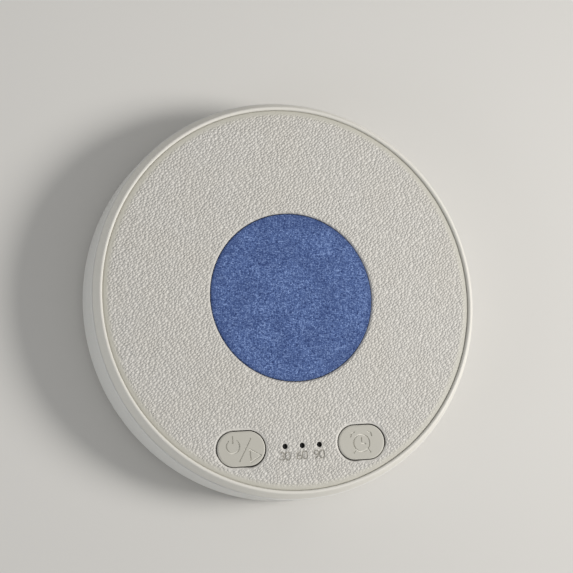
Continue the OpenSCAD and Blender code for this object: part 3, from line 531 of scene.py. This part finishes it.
@dataclass(frozen=True)
class ClothFinish:
    """Mottled blue cloth woven from melange yarn."""

    name: str = "denim_weave"
    light: Colour = (136, 160, 208)
    middle: Colour = (81, 104, 156)
    dark: Colour = (40, 58, 106)
    gap: Colour = (28, 43, 88)
    sheen: Colour = (170, 188, 225)
    pitch: float = 0.375 * MM
    yarn_h: float = 0.03 * MM
    fuzziness: float = 0.9
    rim_r: float = 18.85 * MM

    def material(self) -> bpy.types.Material:
        """Makes the cloth's material."""
        made, graph = new_material(self.name)
        at = graph.add("TexCoord").outputs["Object"]
        weave = EFFECTS.place(graph, "plain_weave", at, self.pitch)
        cast = EFFECTS.place(graph, "cast_variation", at, 4.5 * MM)
        fuzz = graph.noise(graph.stretch(at, 0.65, 1.1, 1.0), 1.0 / (0.6 * self.pitch), 2.0, 0.6)
        yarn = graph.plus(weave.outputs["Yarn"], graph.times(graph.less(fuzz, 0.5), self.fuzziness))
        base = graph.blend(graph.fade(yarn, 0.26, 0.5), linear(self.dark), linear(self.middle))
        base = graph.blend(graph.fade(yarn, 0.48, 0.7), base, linear(self.light))
        slubs = graph.times(graph.fade(cast.outputs["Patches"], 0.9, 0.1), 0.25)
        base = graph.blend(slubs, base, linear(self.dark))
        base = graph.blend(graph.times(weave.outputs["Gap"], 0.4), base, linear(self.gap))
        out = graph.radius(at)
        # Painted shade: the cloth darkens towards its edge, beside the leather.
        rim = graph.fade(out, self.rim_r - 1.6 * MM, self.rim_r)
        base = graph.blend(graph.times(rim, 0.3), base, linear(self.dark))
        rough = graph.plus(graph.times(weave.outputs["Gap"], 0.1), 0.82)
        graph.surface({
            "Base Color": base,
            "Roughness": rough,
            "Normal": graph.bump(weave.outputs["Height"], self.yarn_h),
            "Specular IOR Level": 0.2,
            "Sheen Weight": 0.15,
            "Sheen Roughness": 0.45,
            "Sheen Tint": linear(self.sheen),
        })
        return made


SHELL_GREY = Finish("shell_grey", (222, 221, 217), (211, 210, 205), Relief.SPARK, 0.3, 0.008, 0.5)
FRAME_GREIGE = Finish("frame_greige", (219, 216, 208), (209, 206, 197), Relief.SPARK, 0.26, 0.006, 0.54)
KEY_GREIGE = Finish(
    "key_greige", (186, 183, 173), (177, 174, 164), Relief.SPARK, 0.2, 0.004, 0.5, sunk_below=14.829 * MM
)
GRILLE_BLACK = Finish("grille_black", (30, 30, 32), (18, 18, 20), Relief.SPARK, 0.3, 0.01, 0.55)
SMOKED_GUIDE = Finish(
    "smoked_guide", (18, 13, 9), (8, 6, 5), Relief.SATIN, 0.6, 0.003, 0.25, coat=0.3, glassy=0.2
)
LAMP_WHITE = Finish("lamp_white", (236, 232, 206), (214, 206, 168), Relief.SATIN, 0.5, 0.004, 0.22, coat=0.5)
SWITCH_BLACK = Finish("switch_black", (34, 34, 36), (22, 22, 24), Relief.SPARK, 0.25, 0.01, 0.5)
PLUNGER_GREY = Finish("plunger_grey", (162, 161, 157), (140, 139, 134), Relief.SATIN, 0.5, 0.006, 0.42)
BOARD_GREEN = Finish("board_green", (14, 84, 48), (36, 122, 70), Relief.CIRCUIT, 1.6, 0.03, 0.32, coat=0.5)
GUARD_BLUE = Finish("guard_blue", (22, 52, 118), (48, 86, 160), Relief.CIRCUIT, 0.7, 0.02, 0.32, coat=0.5)
CHIP_BLACK = Finish("chip_black", (40, 40, 43), (26, 26, 28), Relief.SPARK, 0.18, 0.008, 0.52)
BRIGHT_STEEL = Finish(
    "bright_steel", (196, 198, 202), (150, 152, 158), Relief.BRUSHED, 0.25, 0.006, 0.3, metallic=1.0
)
PLATED_STEEL = Finish(
    "plated_steel", (188, 186, 180), (140, 138, 130), Relief.SATIN, 0.8, 0.008, 0.36, metallic=1.0
)
MAGNET_NICKEL = Finish(
    "magnet_nickel", (158, 158, 160), (112, 112, 116), Relief.SATIN, 0.7, 0.01, 0.3, metallic=1.0
)
CAPACITOR_TAN = Finish("capacitor_tan", (176, 138, 92), (144, 106, 66), Relief.SATIN, 0.4, 0.008, 0.4)
SOCKET_IVORY = Finish("socket_ivory", (232, 226, 206), (212, 204, 180), Relief.SATIN, 0.7, 0.006, 0.4)
LEAD_RED = Finish("lead_red", (178, 28, 24), (136, 16, 16), Relief.SATIN, 0.6, 0.01, 0.38)
LEAD_BLACK = Finish("lead_black", (32, 32, 33), (18, 18, 19), Relief.SATIN, 0.6, 0.01, 0.38)
POUCH_FOIL = Finish(
    "pouch_foil", (198, 200, 204), (150, 152, 158), Relief.CRUMPLED, 3.5, 0.12, 0.32, metallic=0.9
)
TAPE_WHITE = Finish("tape_white", (236, 236, 231), (206, 205, 198), Relief.FIBRES, 0.35, 0.03, 0.75)
BASKET_BLACK = Finish("basket_black", (32, 32, 34), (20, 20, 22), Relief.SPARK, 0.4, 0.015, 0.48)
COIL_COPPER = Finish("coil_copper", (196, 118, 66), (98, 44, 24), Relief.WOUND, 0.16, 0.05, 0.3, metallic=1.0)
CONE_PAPER = Finish("cone_paper", (62, 60, 58), (38, 37, 36), Relief.FIBRES, 0.45, 0.05, 0.78)
SURROUND_RUBBER = Finish("surround_rubber", (36, 36, 37), (24, 24, 25), Relief.SATIN, 0.5, 0.02, 0.5)
TERMINAL_BROWN = Finish("terminal_brown", (128, 88, 52), (98, 62, 34), Relief.FIBRES, 0.4, 0.03, 0.55)
FOAM_BLACK = Finish("foam_black", (50, 50, 52), (22, 22, 24), Relief.FOAM, 0.28, 0.12, 0.88)
FOOT_RUBBER = Finish("foot_rubber", (58, 58, 60), (40, 40, 42), Relief.SPARK, 0.35, 0.02, 0.7)


@dataclass(frozen=True)
class FaceLevels:
    """Heights and radii of the front, as the solids have them, but with a softer roll of the pad."""

    crown_z: float = 15.25 * MM
    crown_h: float = 0.6 * MM
    pad_r: float = 42.9 * MM
    roll_w: float = 0.6 * MM
    roll_h: float = 0.22 * MM
    deck_z: float = 13.7 * MM
    cloth_r: float = 18.85 * MM
    grille_z: float = 14.684 * MM
    key_x: float = 14.0 * MM
    key_y: float = -33.1 * MM

    def crown_at(self, r: np.ndarray) -> np.ndarray:
        """Height of the crowned front at a distance from the middle."""
        return self.crown_z - self.crown_h * (r / self.pad_r) ** 2

    def face_at(self, r: np.ndarray) -> np.ndarray:
        """Height of the pad with its rolled outer edge."""
        into = np.clip((r - (self.pad_r - self.roll_w)) / self.roll_w, 0, 1)
        return self.crown_at(r) - self.roll_h * (1 - np.sqrt(1 - into**2))


LEVELS = FaceLevels()


def flat_places(bm: bmesh.types.BMesh) -> np.ndarray:
    """X and Y of every vertex."""
    return np.array([v.co[:2] for v in bm.verts])


def only(kind: type, geom: list) -> list:
    """Takes the vertices, edges or faces out of an operator's mixed result."""
    return [g for g in geom if isinstance(g, kind)]


def smooth(value: np.ndarray, start: float, end: float) -> np.ndarray:
    """Goes from 0 at start to 1 at end without a kink."""
    t = np.clip((value - start) / (end - start), 0, 1)
    return t * t * (3 - 2 * t)


@dataclass(frozen=True)
class Outline:
    """A round or long-round line on the front that a flat sheet is cut along."""

    x: float
    y: float
    half: float
    r: float

    def distance(self, x: np.ndarray, y: np.ndarray) -> np.ndarray:
        """Distance to the line, below zero inside it."""
        away = np.maximum(np.abs(x - self.x) - self.half, 0)
        return np.hypot(away, y - self.y) - self.r

    def nearest(self, at: Vector) -> Vector:
        """The point of the line that is closest to a point."""
        core = Vector((self.x + min(max(at.x - self.x, -self.half), self.half), self.y, at.z))
        return core + (at - core).normalized() * self.r

    def gap(self, at: Vector) -> float:
        """Distance from one point to the line, below zero inside it."""
        return math.hypot(max(abs(at.x - self.x) - self.half, 0), at.y - self.y) - self.r

    def close_by(self, bm: bmesh.types.BMesh, low: float, high: float) -> list[bmesh.types.BMVert]:
        """Finds the vertices between two distances from the line."""
        at = flat_places(bm)
        away = self.distance(at[:, 0], at[:, 1])
        bm.verts.ensure_lookup_table()
        return [bm.verts[i] for i in np.flatnonzero((away > low) & (away < high))]

    def refine(self, bm: bmesh.types.BMesh, reach: float) -> None:
        """Halves the sheet's edges that lie within a reach of the line."""
        near = set(self.close_by(bm, -reach, reach))
        edges = {e: None for v in near for e in v.link_edges if e.other_vert(v) in near}
        bmesh.ops.subdivide_edges(bm, edges=list(edges), cuts=1, use_grid_fill=True)

    def cut(self, bm: bmesh.types.BMesh, cell: float, keep_inside: bool = False) -> None:
        """Cuts the sheet along the line and removes one side.

        Args:
            bm: the flat sheet.
            cell: the size of the sheet's faces near the line.
            keep_inside: whether the inside stays.
        """
        near = self.close_by(bm, -4 * cell, 4 * cell)
        on_line = {}
        for vert in near:
            if abs(self.gap(vert.co)) < 0.25 * cell:
                vert.co = self.nearest(vert.co)
                on_line[vert] = None
        edges = {e: None for v in near for e in v.link_edges}
        for edge in edges:
            a, b = edge.verts
            if a in on_line or b in on_line:
                continue
            first, second = self.gap(a.co), self.gap(b.co)
            if first * second < 0:
                _, made = bmesh.utils.edge_split(edge, a, first / (first - second))
                made.co = self.nearest(made.co)
                on_line[made] = None
        bmesh.ops.connect_verts(bm, verts=list(on_line))
        side = -1 if keep_inside else 1
        reach = (-1.0, 0.01 * cell) if side > 0 else (-0.01 * cell, 1.0)
        faces = {f: None for v in self.close_by(bm, *reach) for f in v.link_faces}
        gone = [f for f in faces if side * self.gap(f.calc_center_median()) < 0]
        bmesh.ops.delete(bm, geom=gone, context="FACES")


def finish_mesh(bm: bmesh.types.BMesh, name: str, material: bpy.types.Material) -> bpy.types.Object:
    """Turns a finished bmesh into an object at the origin.

    Args:
        bm: the mesh, which is freed.
        name: the piece's name.
        material: its material.

    Returns:
        The new object, shaded smooth.
    """
    for face in bm.faces:
        face.smooth = True
    mesh = bpy.data.meshes.new(name)
    bm.to_mesh(mesh)
    bm.free()
    mesh.materials.append(material)
    piece = bpy.data.objects.new(name, mesh)
    bpy.context.scene.collection.objects.link(piece)
    return piece


class SubAssembly(ABC):
    """Pieces that belong together: solids that get a finish, and pieces that are made here."""

    finishes: ClassVar[dict[str, Finish]] = {}

    def dress(self) -> list[bpy.types.Object]:
        """Gives each of the solids its finish and returns them."""
        dressed = []
        for node, finish in self.finishes.items():
            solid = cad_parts[node]
            for place in solid.material_slots:
                place.material = finish.material()
            dressed.append(solid)
        return dressed

    def build(self) -> list[bpy.types.Object]:
        """Builds the pieces that are made here and returns them."""
        return []

    def make(self) -> None:
        """Builds and dresses the whole sub-assembly and reports its pieces."""
        for piece in self.build() + self.dress():
            LOG.info("%s: %s, %d faces", type(self).__name__, piece.name, len(piece.data.polygons))


@dataclass(frozen=True)
class Figures:
    """The sunk figures 30, 60 and 90 below the timer lamps."""

    height: float = 1.85 * MM
    breadth: float = 1.28
    x: float = -0.25 * MM
    y: float = -35.2 * MM
    pitch: float = 4.0 * MM
    step: float = 0.66 * MM
    soft: float = 0.03 * MM

    @property
    def width(self) -> float:
        """Width of a stroke."""
        return 0.11 * self.height

    @property
    def bowl_r(self) -> float:
        """Middle radius of a figure's bowl."""
        return 0.25 * self.height - self.width / 4

    @staticmethod
    def stroke(x: np.ndarray, y: np.ndarray, a: tuple[float, float], b: tuple[float, float]) -> np.ndarray:
        """Distance to a straight line between two points."""
        dx, dy = b[0] - a[0], b[1] - a[1]
        t = np.clip(((x - a[0]) * dx + (y - a[1]) * dy) / (dx * dx + dy * dy), 0, 1)
        return np.hypot(x - a[0] - t * dx, y - a[1] - t * dy)

    def bowl(self, x: np.ndarray, y: np.ndarray, low_turn: float, high_turn: float) -> np.ndarray:
        """Distance to an arc of the bowl's radius between two angles in degrees, rounded at its high end."""
        angle = np.degrees(np.arctan2(y, x))
        outside = (angle < low_turn) | (angle > high_turn)
        end = math.radians(high_turn)
        from_end = np.hypot(x - self.bowl_r * math.cos(end), y - self.bowl_r * math.sin(end))
        return np.where(outside, from_end, np.abs(np.hypot(x, y) - self.bowl_r))

    def digit(self, figure: int, x: np.ndarray, y: np.ndarray) -> np.ndarray:
        """Distance to the middle line of one figure.

        Args:
            figure: 0, 3, 6 or 9.
            x: the points' X from the figure's middle.
            y: the points' Y from the figure's middle.

        Returns:
            The distances.
        """
        low = -self.bowl_r
        if figure == 0:
            return np.abs(np.hypot(x, np.maximum(np.abs(y) - self.bowl_r, 0)) - self.bowl_r)
        if figure == 3:
            upper = self.bowl(x, y + low, -90, 160)
            return np.minimum(upper, self.bowl(x, y - low, -160, 90))
        if figure == 9:
            x, y = -x, -y
        ring = np.abs(np.hypot(x, y - low) - self.bowl_r)
        knee = (-0.8 * self.bowl_r, 0.15 * self.height)
        tip = (0.1 * self.height, self.height / 2 - self.width / 2)
        neck = np.minimum(self.stroke(x, y, (-self.bowl_r, low), knee), self.stroke(x, y, knee, tip))
        return np.minimum(ring, neck)

    def mask(self, x: np.ndarray, y: np.ndarray) -> np.ndarray:
        """How far each point lies in a figure's stroke, from 0 to 1."""
        closest = np.full(x.shape, np.inf)
        for place, figure in ((-1, 3), (0, 6), (1, 9)):
            for side, shape in ((-1, figure), (1, 0)):
                middle = self.x + place * self.pitch + side * self.step
                closest = np.minimum(closest, self.digit(shape, (x - middle) / self.breadth, y - self.y))
        return 1 - smooth(closest, self.width / 2 - self.soft, self.width / 2 + self.soft)


@dataclass
class LeatherFace(SubAssembly):
    """The padded leatherette face: slightly uneven, rolled down at its edges, with the sunk figures."""

    inner_r: float = 19.0 * MM
    ring_pitch: float = 0.4 * MM
    turns: int = 640
    roll_steps: int = 8
    slack: float = 0.02 * MM
    slack_pitch: float = 9.0 * MM
    edge_w: float = 0.6 * MM
    edge_h: float = 0.3 * MM
    mark_depth: float = 0.12 * MM
    key_half: float = 1.65 * MM
    key_r: float = 4.02 * MM
    lamp_r: float = 0.6 * MM
    cell: float = 0.05 * MM
    fill: float = 0.9
    figures: Figures = field(default_factory=Figures)

    def openings(self) -> list[Outline]:
        """The lines of the two key openings and the three lamp holes."""
        keys = [Outline(side * LEVELS.key_x, LEVELS.key_y, self.key_half, self.key_r) for side in (-1, 1)]
        pitch = self.figures.pitch
        lamps = [Outline(side * pitch, LEVELS.key_y, 0.0, self.lamp_r) for side in (-1, 0, 1)]
        return keys + lamps

    def sheet(self) -> bmesh.types.BMesh:
        """Spins an eighth of the face's flat ring, completes it and cuts its openings."""
        bm = bmesh.new()
        flat_r = LEVELS.pad_r - LEVELS.roll_w
        start = bm.verts.new((self.inner_r, 0, 0))
        line = bm.edges.new((start, bm.verts.new((flat_r, 0, 0))))
        rings = round((flat_r - self.inner_r) / self.ring_pitch)
        bmesh.ops.subdivide_edges(bm, edges=[line], cuts=rings - 1)
        for step in range(1, self.roll_steps + 1):
            r = flat_r + LEVELS.roll_w * math.sin(math.pi / 2 * step / self.roll_steps)
            tip = max(bm.verts, key=lambda v: v.co.x)
            bmesh.ops.extrude_vert_indiv(bm, verts=[tip])["verts"][0].co.x = r
        bmesh.ops.spin(
            bm, geom=bm.verts[:] + bm.edges[:], cent=(0, 0, 0), axis=(0, 0, 1), dvec=(0, 0, 0),
            angle=math.pi / 4, steps=self.turns // 8, use_merge=False, use_duplicate=False,
        )
        for turn in (math.pi / 4, math.pi / 2, math.pi):
            copied = bmesh.ops.duplicate(bm, geom=bm.verts[:] + bm.edges[:] + bm.faces[:])["geom"]
            verts = only(bmesh.types.BMVert, copied)
            bmesh.ops.rotate(bm, verts=verts, cent=(0, 0, 0), matrix=Matrix.Rotation(turn, 3, "Z"))
        bmesh.ops.remove_doubles(bm, verts=bm.verts[:], dist=0.001 * MM)
        for opening in self.openings():
            for reach in (1.4 * MM, 0.9 * MM, 0.3 * MM):
                opening.refine(bm, reach)
            opening.cut(bm, self.cell)
        self.refine_figures(bm)
        return bm

    def refine_figures(self, bm: bmesh.types.BMesh) -> None:
        """Divides the sheet finely where the figures are sunk."""
        at = flat_places(bm)
        level = np.abs(at[:, 1] - self.figures.y) < self.figures.height / 2 + 0.15 * MM
        bm.verts.ensure_lookup_table()
        near = {bm.verts[i] for i in np.flatnonzero(level & (np.abs(at[:, 0]) < 6.0 * MM))}
        edges = {e: None for v in near for e in v.link_edges if e.other_vert(v) in near}
        for length, cuts in ((0.25 * MM, 3), (0.12 * MM, 1)):
            long = [e for e in edges if e.is_valid and e.calc_length() > length]
            bmesh.ops.subdivide_edges(bm, edges=long, cuts=cuts, use_grid_fill=True)

    def shape(self, bm: bmesh.types.BMesh) -> None:
        """Lifts the flat sheet to the crowned face with its slack, rolled edges and figures."""
        flat = flat_places(bm)
        x, y = flat[:, 0], flat[:, 1]
        r = np.hypot(x, y)
        edge = np.minimum.reduce([o.distance(x, y) for o in self.openings()[:2]])
        hole = np.minimum.reduce([o.distance(x, y) for o in self.openings()[2:]])
        cover = 1 - smooth(r, 41.3 * MM, 42.3 * MM)
        cover *= smooth(edge, 0.2 * MM, 0.7 * MM) * smooth(hole, 0.0, 0.35 * MM)
        cover *= smooth(r, self.inner_r, self.inner_r + 0.3 * MM)
        mark = self.figures.mask(x, y)
        across, along = 2 * math.pi * x / self.slack_pitch, 2 * math.pi * y / self.slack_pitch
        z = LEVELS.face_at(r)
        wave = np.sin(across + 1.3 * np.sin(0.61 * along))
        z += self.slack * wave * np.sin(0.83 * along + 1.1 * np.cos(0.47 * across))
        for away, width, depth in (
            (edge, self.edge_w, self.edge_h),
            (hole, 0.12 * MM, 0.1 * MM),
            (r - self.inner_r, 0.3 * MM, 0.22 * MM),
        ):
            into = np.clip(1 - away / width, 0, 1)
            z -= depth * (1 - np.sqrt(1 - np.minimum(into, 0.995) ** 2))
        z -= self.mark_depth * mark
        cover_layer = bm.verts.layers.float.new("cover")
        mark_layer = bm.verts.layers.float.new("mark")
        for vert, height, pebbled, sunk in zip(bm.verts, z, cover * (1 - 0.8 * mark), mark):
            vert.co.z = height
            vert[cover_layer] = pebbled
            vert[mark_layer] = sunk

    def close(self, bm: bmesh.types.BMesh) -> None:
        """Draws the sheet's edges down to the deck and closes the underside."""
        low = LEVELS.deck_z + 0.01 * MM
        rims = [e for e in bm.edges if e.is_boundary]
        for share in (0.12, 1.0):
            grown = bmesh.ops.extrude_edge_only(bm, edges=rims)["geom"]
            for vert in only(bmesh.types.BMVert, grown):
                vert.co.z += share * (low - vert.co.z)
            rims = only(bmesh.types.BMEdge, grown)
        bmesh.ops.triangle_fill(bm, use_beauty=True, edges=rims, normal=(0, 0, -1))
        bmesh.ops.recalc_face_normals(bm, faces=bm.faces[:])

    def build(self) -> list[bpy.types.Object]:
        """Builds the leather face in place of the solid pad."""
        bm = self.sheet()
        self.shape(bm)
        self.close(bm)
        face = finish_mesh(bm, "leather_face", LeatherFinish().material())
        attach(face, "case")
        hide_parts("front_pad")
        return [face]


@dataclass
class WovenGrille(SubAssembly):
    """The woven cloth disc, stretched over the perforated grille plate."""

    finishes: ClassVar[dict[str, Finish]] = {"grille_plate": GRILLE_BLACK}
    pitch: float = 0.375 * MM
    cell: float = 0.125 * MM
    cells: int = 302
    thread_h: float = 0.04 * MM
    hem_z: float = 13.8 * MM
    hem_w: float = 0.44 * MM
    edge_r: float = 0.22 * MM

    def weave(self, x: np.ndarray, y: np.ndarray) -> np.ndarray:
        """Height of the plain weave at each point, from 0 in the gaps to 1 on the threads."""
        u, v = x / self.pitch, y / self.pitch
        column, row = np.floor(u + 1e-6), np.floor(v + 1e-6)
        weft_up = (column + row) % 2
        across_warp, across_weft = np.abs(u - column - 0.5), np.abs(v - row - 0.5)
        across = np.where(weft_up > 0.5, across_weft, across_warp)
        along = np.where(weft_up > 0.5, across_warp, across_weft)
        dome = np.sqrt(np.clip(1 - (across / 0.52) ** 2, 0, 1))
        return dome * (1 - 0.45 * smooth(along, 0.1, 0.55))

    def build(self) -> list[bpy.types.Object]:
        """Builds the cloth in place of its solid."""
        bm = bmesh.new()
        size = self.cells * self.cell / 2
        bmesh.ops.create_grid(bm, x_segments=self.cells, y_segments=self.cells, size=size)
        Outline(0.0, 0.0, 0.0, LEVELS.cloth_r).cut(bm, self.cell, keep_inside=True)
        flat = flat_places(bm)
        r = np.hypot(flat[:, 0], flat[:, 1])
        threads = self.weave(flat[:, 0], flat[:, 1])
        fade = 1 - smooth(r, LEVELS.cloth_r - 0.35 * MM, LEVELS.cloth_r)
        z = LEVELS.crown_at(r) - self.thread_h * (1 - threads * fade)
        into = np.clip((r - (LEVELS.cloth_r - self.edge_r)) / self.edge_r, 0, 0.995)
        z -= self.edge_r * (1 - np.sqrt(1 - into**2))
        for vert, height in zip(bm.verts, z):
            vert.co.z = height
        self.wrap(bm)
        cloth = finish_mesh(bm, "woven_cloth", ClothFinish().material())
        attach(cloth, "case")
        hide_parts("speaker_cloth")
        return [cloth]

    def wrap(self, bm: bmesh.types.BMesh) -> None:
        """Folds the cloth's edge down over the plate, round its hem and back up underneath."""
        edges = [e for e in bm.edges if e.is_boundary]
        inner = 1 - self.hem_w / LEVELS.cloth_r
        for scale, level in ((1.0, self.hem_z), (inner, self.hem_z), (inner, LEVELS.grille_z)):
            grown = bmesh.ops.extrude_edge_only(bm, edges=edges)["geom"]
            verts = only(bmesh.types.BMVert, grown)
            edges = only(bmesh.types.BMEdge, grown)
            for vert in verts:
                vert.co.z = level
            if scale < 1 and level == self.hem_z:
                bmesh.ops.scale(bm, vec=(inner, inner, 1), verts=verts)
        bmesh.ops.triangle_fill(bm, use_beauty=True, edges=edges, normal=(0, 0, -1))
        bmesh.ops.recalc_face_normals(bm, faces=bm.faces[:])


class Housing(SubAssembly):
    """The two moulded shells with their screws and feet."""

    finishes: ClassVar[dict[str, Finish]] = {
        "rear_shell": SHELL_GREY,
        "front_frame": FRAME_GREIGE,
        "case_screws": BRIGHT_STEEL,
        "rubber_feet": FOOT_RUBBER,
    }


class Keys(SubAssembly):
    """The two press keys with the switches under them."""

    finishes: ClassVar[dict[str, Finish]] = {
        "power_key": KEY_GREIGE,
        "timer_key": KEY_GREIGE,
        "power_switch": SWITCH_BLACK,
        "timer_switch": SWITCH_BLACK,
        "power_plunger": PLUNGER_GREY,
        "timer_plunger": PLUNGER_GREY,
    }


class TimerLamps(SubAssembly):
    """The three timer lamps and the smoked guide above them."""

    finishes: ClassVar[dict[str, Finish]] = {
        "light_guide": SMOKED_GUIDE,
        "lamp_30": LAMP_WHITE,
        "lamp_60": LAMP_WHITE,
        "lamp_90": LAMP_WHITE,
    }


class Electronics(SubAssembly):
    """The main board, what is soldered to it, and the charging socket."""

    finishes: ClassVar[dict[str, Finish]] = {
        "main_board": BOARD_GREEN,
        "sound_chip": CHIP_BLACK,
        "amplifier_chip": CHIP_BLACK,
        "memory_chip": CHIP_BLACK,
        "clock_crystal": BRIGHT_STEEL,
        "capacitors": CAPACITOR_TAN,
        "charge_port_shell": BRIGHT_STEEL,
        "charge_port_tongue": SWITCH_BLACK,
        "battery_socket": SOCKET_IVORY,
        "board_screws": BRIGHT_STEEL,
    }


class Battery(SubAssembly):
    """The battery pouch with its guard board, tape, leads and plug."""

    finishes: ClassVar[dict[str, Finish]] = {
        "battery_cell": POUCH_FOIL,
        "battery_guard_board": GUARD_BLUE,
        "battery_tape": TAPE_WHITE,
        "battery_plug": SOCKET_IVORY,
        "battery_lead_red": LEAD_RED,
        "battery_lead_black": LEAD_BLACK,
    }


class Driver(SubAssembly):
    """The speaker driver, from its basket to its cone."""

    finishes: ClassVar[dict[str, Finish]] = {
        "driver_frame": BASKET_BLACK,
        "driver_yoke": PLATED_STEEL,
        "driver_magnet": MAGNET_NICKEL,
        "driver_pole_plate": PLATED_STEEL,
        "voice_coil": COIL_COPPER,
        "cone": CONE_PAPER,
        "dust_cap": CONE_PAPER,
        "cone_surround": SURROUND_RUBBER,
        "driver_terminals": TERMINAL_BROWN,
        "driver_gasket": FOAM_BLACK,
        "magnet_pad": FOAM_BLACK,
        "speaker_lead_red": LEAD_RED,
        "speaker_lead_black": LEAD_BLACK,
    }


@dataclass(frozen=True)
class PhotoCamera:
    """The camera at the photograph's viewing angle."""

    place: tuple[float, float, float] = (-0.112189, -0.045868, 0.351457)
    right: tuple[float, float, float] = (0.95028, -0.06868, 0.30373)
    back: tuple[float, float, float] = (-0.3105, -0.13499, 0.94094)
    lens: float = 100.524

    def build(self) -> bpy.types.Object:
        """Makes the camera and makes it the scene's own."""
        data = bpy.data.cameras.new("photo_camera")
        data.sensor_fit = "HORIZONTAL"
        data.sensor_width = 36.0
        data.lens = self.lens
        data.clip_start = 0.01
        camera = bpy.data.objects.new("photo_camera", data)
        back = Vector(self.back).normalized()
        up = back.cross(Vector(self.right)).normalized()
        right = up.cross(back)
        turn = Matrix((right, up, back)).transposed()
        camera.matrix_world = Matrix.Translation(self.place) @ turn.to_4x4()
        bpy.context.scene.collection.objects.link(camera)
        bpy.context.scene.camera = camera
        return camera


def disc_light(name: str, size: float, power: float, place: Vector, back: Vector) -> bpy.types.Light:
    """Makes a round area light.

    Args:
        name: its name.
        size: its diameter.
        power: its power in watts.
        place: where it stands.
        back: the way that its back faces.

    Returns:
        The light's data.
    """
    data = bpy.data.lights.new(name, "AREA")
    data.shape = "DISK"
    data.size = size
    data.energy = power
    lamp = bpy.data.objects.new(name, data)
    lamp.matrix_world = Matrix.Translation(place) @ back.to_track_quat("Z", "Y").to_matrix().to_4x4()
    bpy.context.scene.collection.objects.link(lamp)
    return data


@dataclass(frozen=True)
class SoftLight:
    """One round soft light: its power, size, distance, direction and tint, with angles in degrees."""

    name: str
    power: float
    size: float
    far: float
    turn: float
    rise: float
    tint: tuple[float, float, float]
    spread: float = 180
    aim: tuple[float, float, float] = (0.0, 0.0, 0.0)

    def build(self) -> None:
        """Makes the light, which points at its aim."""
        turn, rise = math.radians(self.turn), math.radians(self.rise)
        level = math.cos(rise)
        place = self.far * Vector((level * math.cos(turn), level * math.sin(turn), math.sin(rise)))
        data = disc_light(self.name, self.size, self.power, place, place - Vector(self.aim))
        data.color = self.tint
        data.spread = math.radians(self.spread)


@dataclass(frozen=True)
class Studio:
    """A plain pale floor under soft light from the right, as in the photograph.

    A faint light lies on the floor below the object, so that its underside shows from below.
    """

    floor_half: float = 2.0
    floor_colour: Colour = (210, 208, 204)
    world_strength: float = 0.43
    lights: tuple[SoftLight, ...] = (
        SoftLight("key_light", 0.59, 0.3, 0.8, -6, 38, (1.0, 0.985, 0.96), 55, (0.1, 0.0, 0.0)),
        SoftLight("fill_light", 0.5, 0.3, 0.6, 200, 20, (0.88, 0.94, 1.0)),
    )
    under_r: float = 42.0 * MM
    under_power: float = 0.005

    def floor(self) -> bpy.types.Object:
        """Makes the pale floor that the feet stand on."""
        bm = bmesh.new()
        bmesh.ops.create_grid(bm, x_segments=8, y_segments=8, size=self.floor_half)
        material, graph = new_material("studio_floor")
        at = graph.add("TexCoord").outputs["Object"]
        cloud = graph.fade(graph.noise(at, 3.0, 3.0), 0.3, 0.7)
        darker = tuple(c - 3 for c in self.floor_colour)
        base = graph.blend(cloud, linear(self.floor_colour), linear(darker))
        matt = {"Base Color": base, "Roughness": 0.9, "Specular IOR Level": 0.0}
        shader = graph.add("BsdfPrincipled", matt)
        under = graph.add("NewGeometry").outputs["Backfacing"]
        clear = graph.add("BsdfTransparent").outputs[0]
        shown = graph.add("MixShader", {0: under, 1: shader.outputs[0], 2: clear}).outputs[0]
        graph.add("OutputMaterial", {"Surface": shown})
        bmesh.ops.translate(bm, vec=(0, 0, -0.02 * MM), verts=bm.verts[:])
        floor = finish_mesh(bm, "studio_floor", material)
        return floor

    def world(self) -> None:
        """Makes the even pale surroundings."""
        world = bpy.data.worlds.new("studio")
        world.use_nodes = True
        background = world.node_tree.nodes["Background"]
        background.inputs["Color"].default_value = (1.0, 1.0, 1.0, 1.0)
        background.inputs["Strength"].default_value = self.world_strength
        bpy.context.scene.world = world

    def build(self) -> None:
        """Makes the floor, the surroundings and the lights."""
        self.floor()
        self.world()
        low = Vector((0, 0, -0.01 * MM))
        disc_light("under_light", 2 * self.under_r, self.under_power, low, Vector((0, 0, -1)))
        for light in self.lights:
            light.build()
        bpy.context.scene.view_settings.view_transform = "Standard"


def main() -> None:
    """Builds the camera, the pieces and the studio in order."""
    logging.basicConfig(level=logging.INFO, format="%(name)s %(message)s")
    PhotoCamera().build()
    for assembly in (
        Housing(), LeatherFace(), WovenGrille(), Keys(), TimerLamps(), Electronics(), Battery(), Driver()
    ):
        assembly.make()
    Studio().build()


if __name__ == "__main__":
    main()
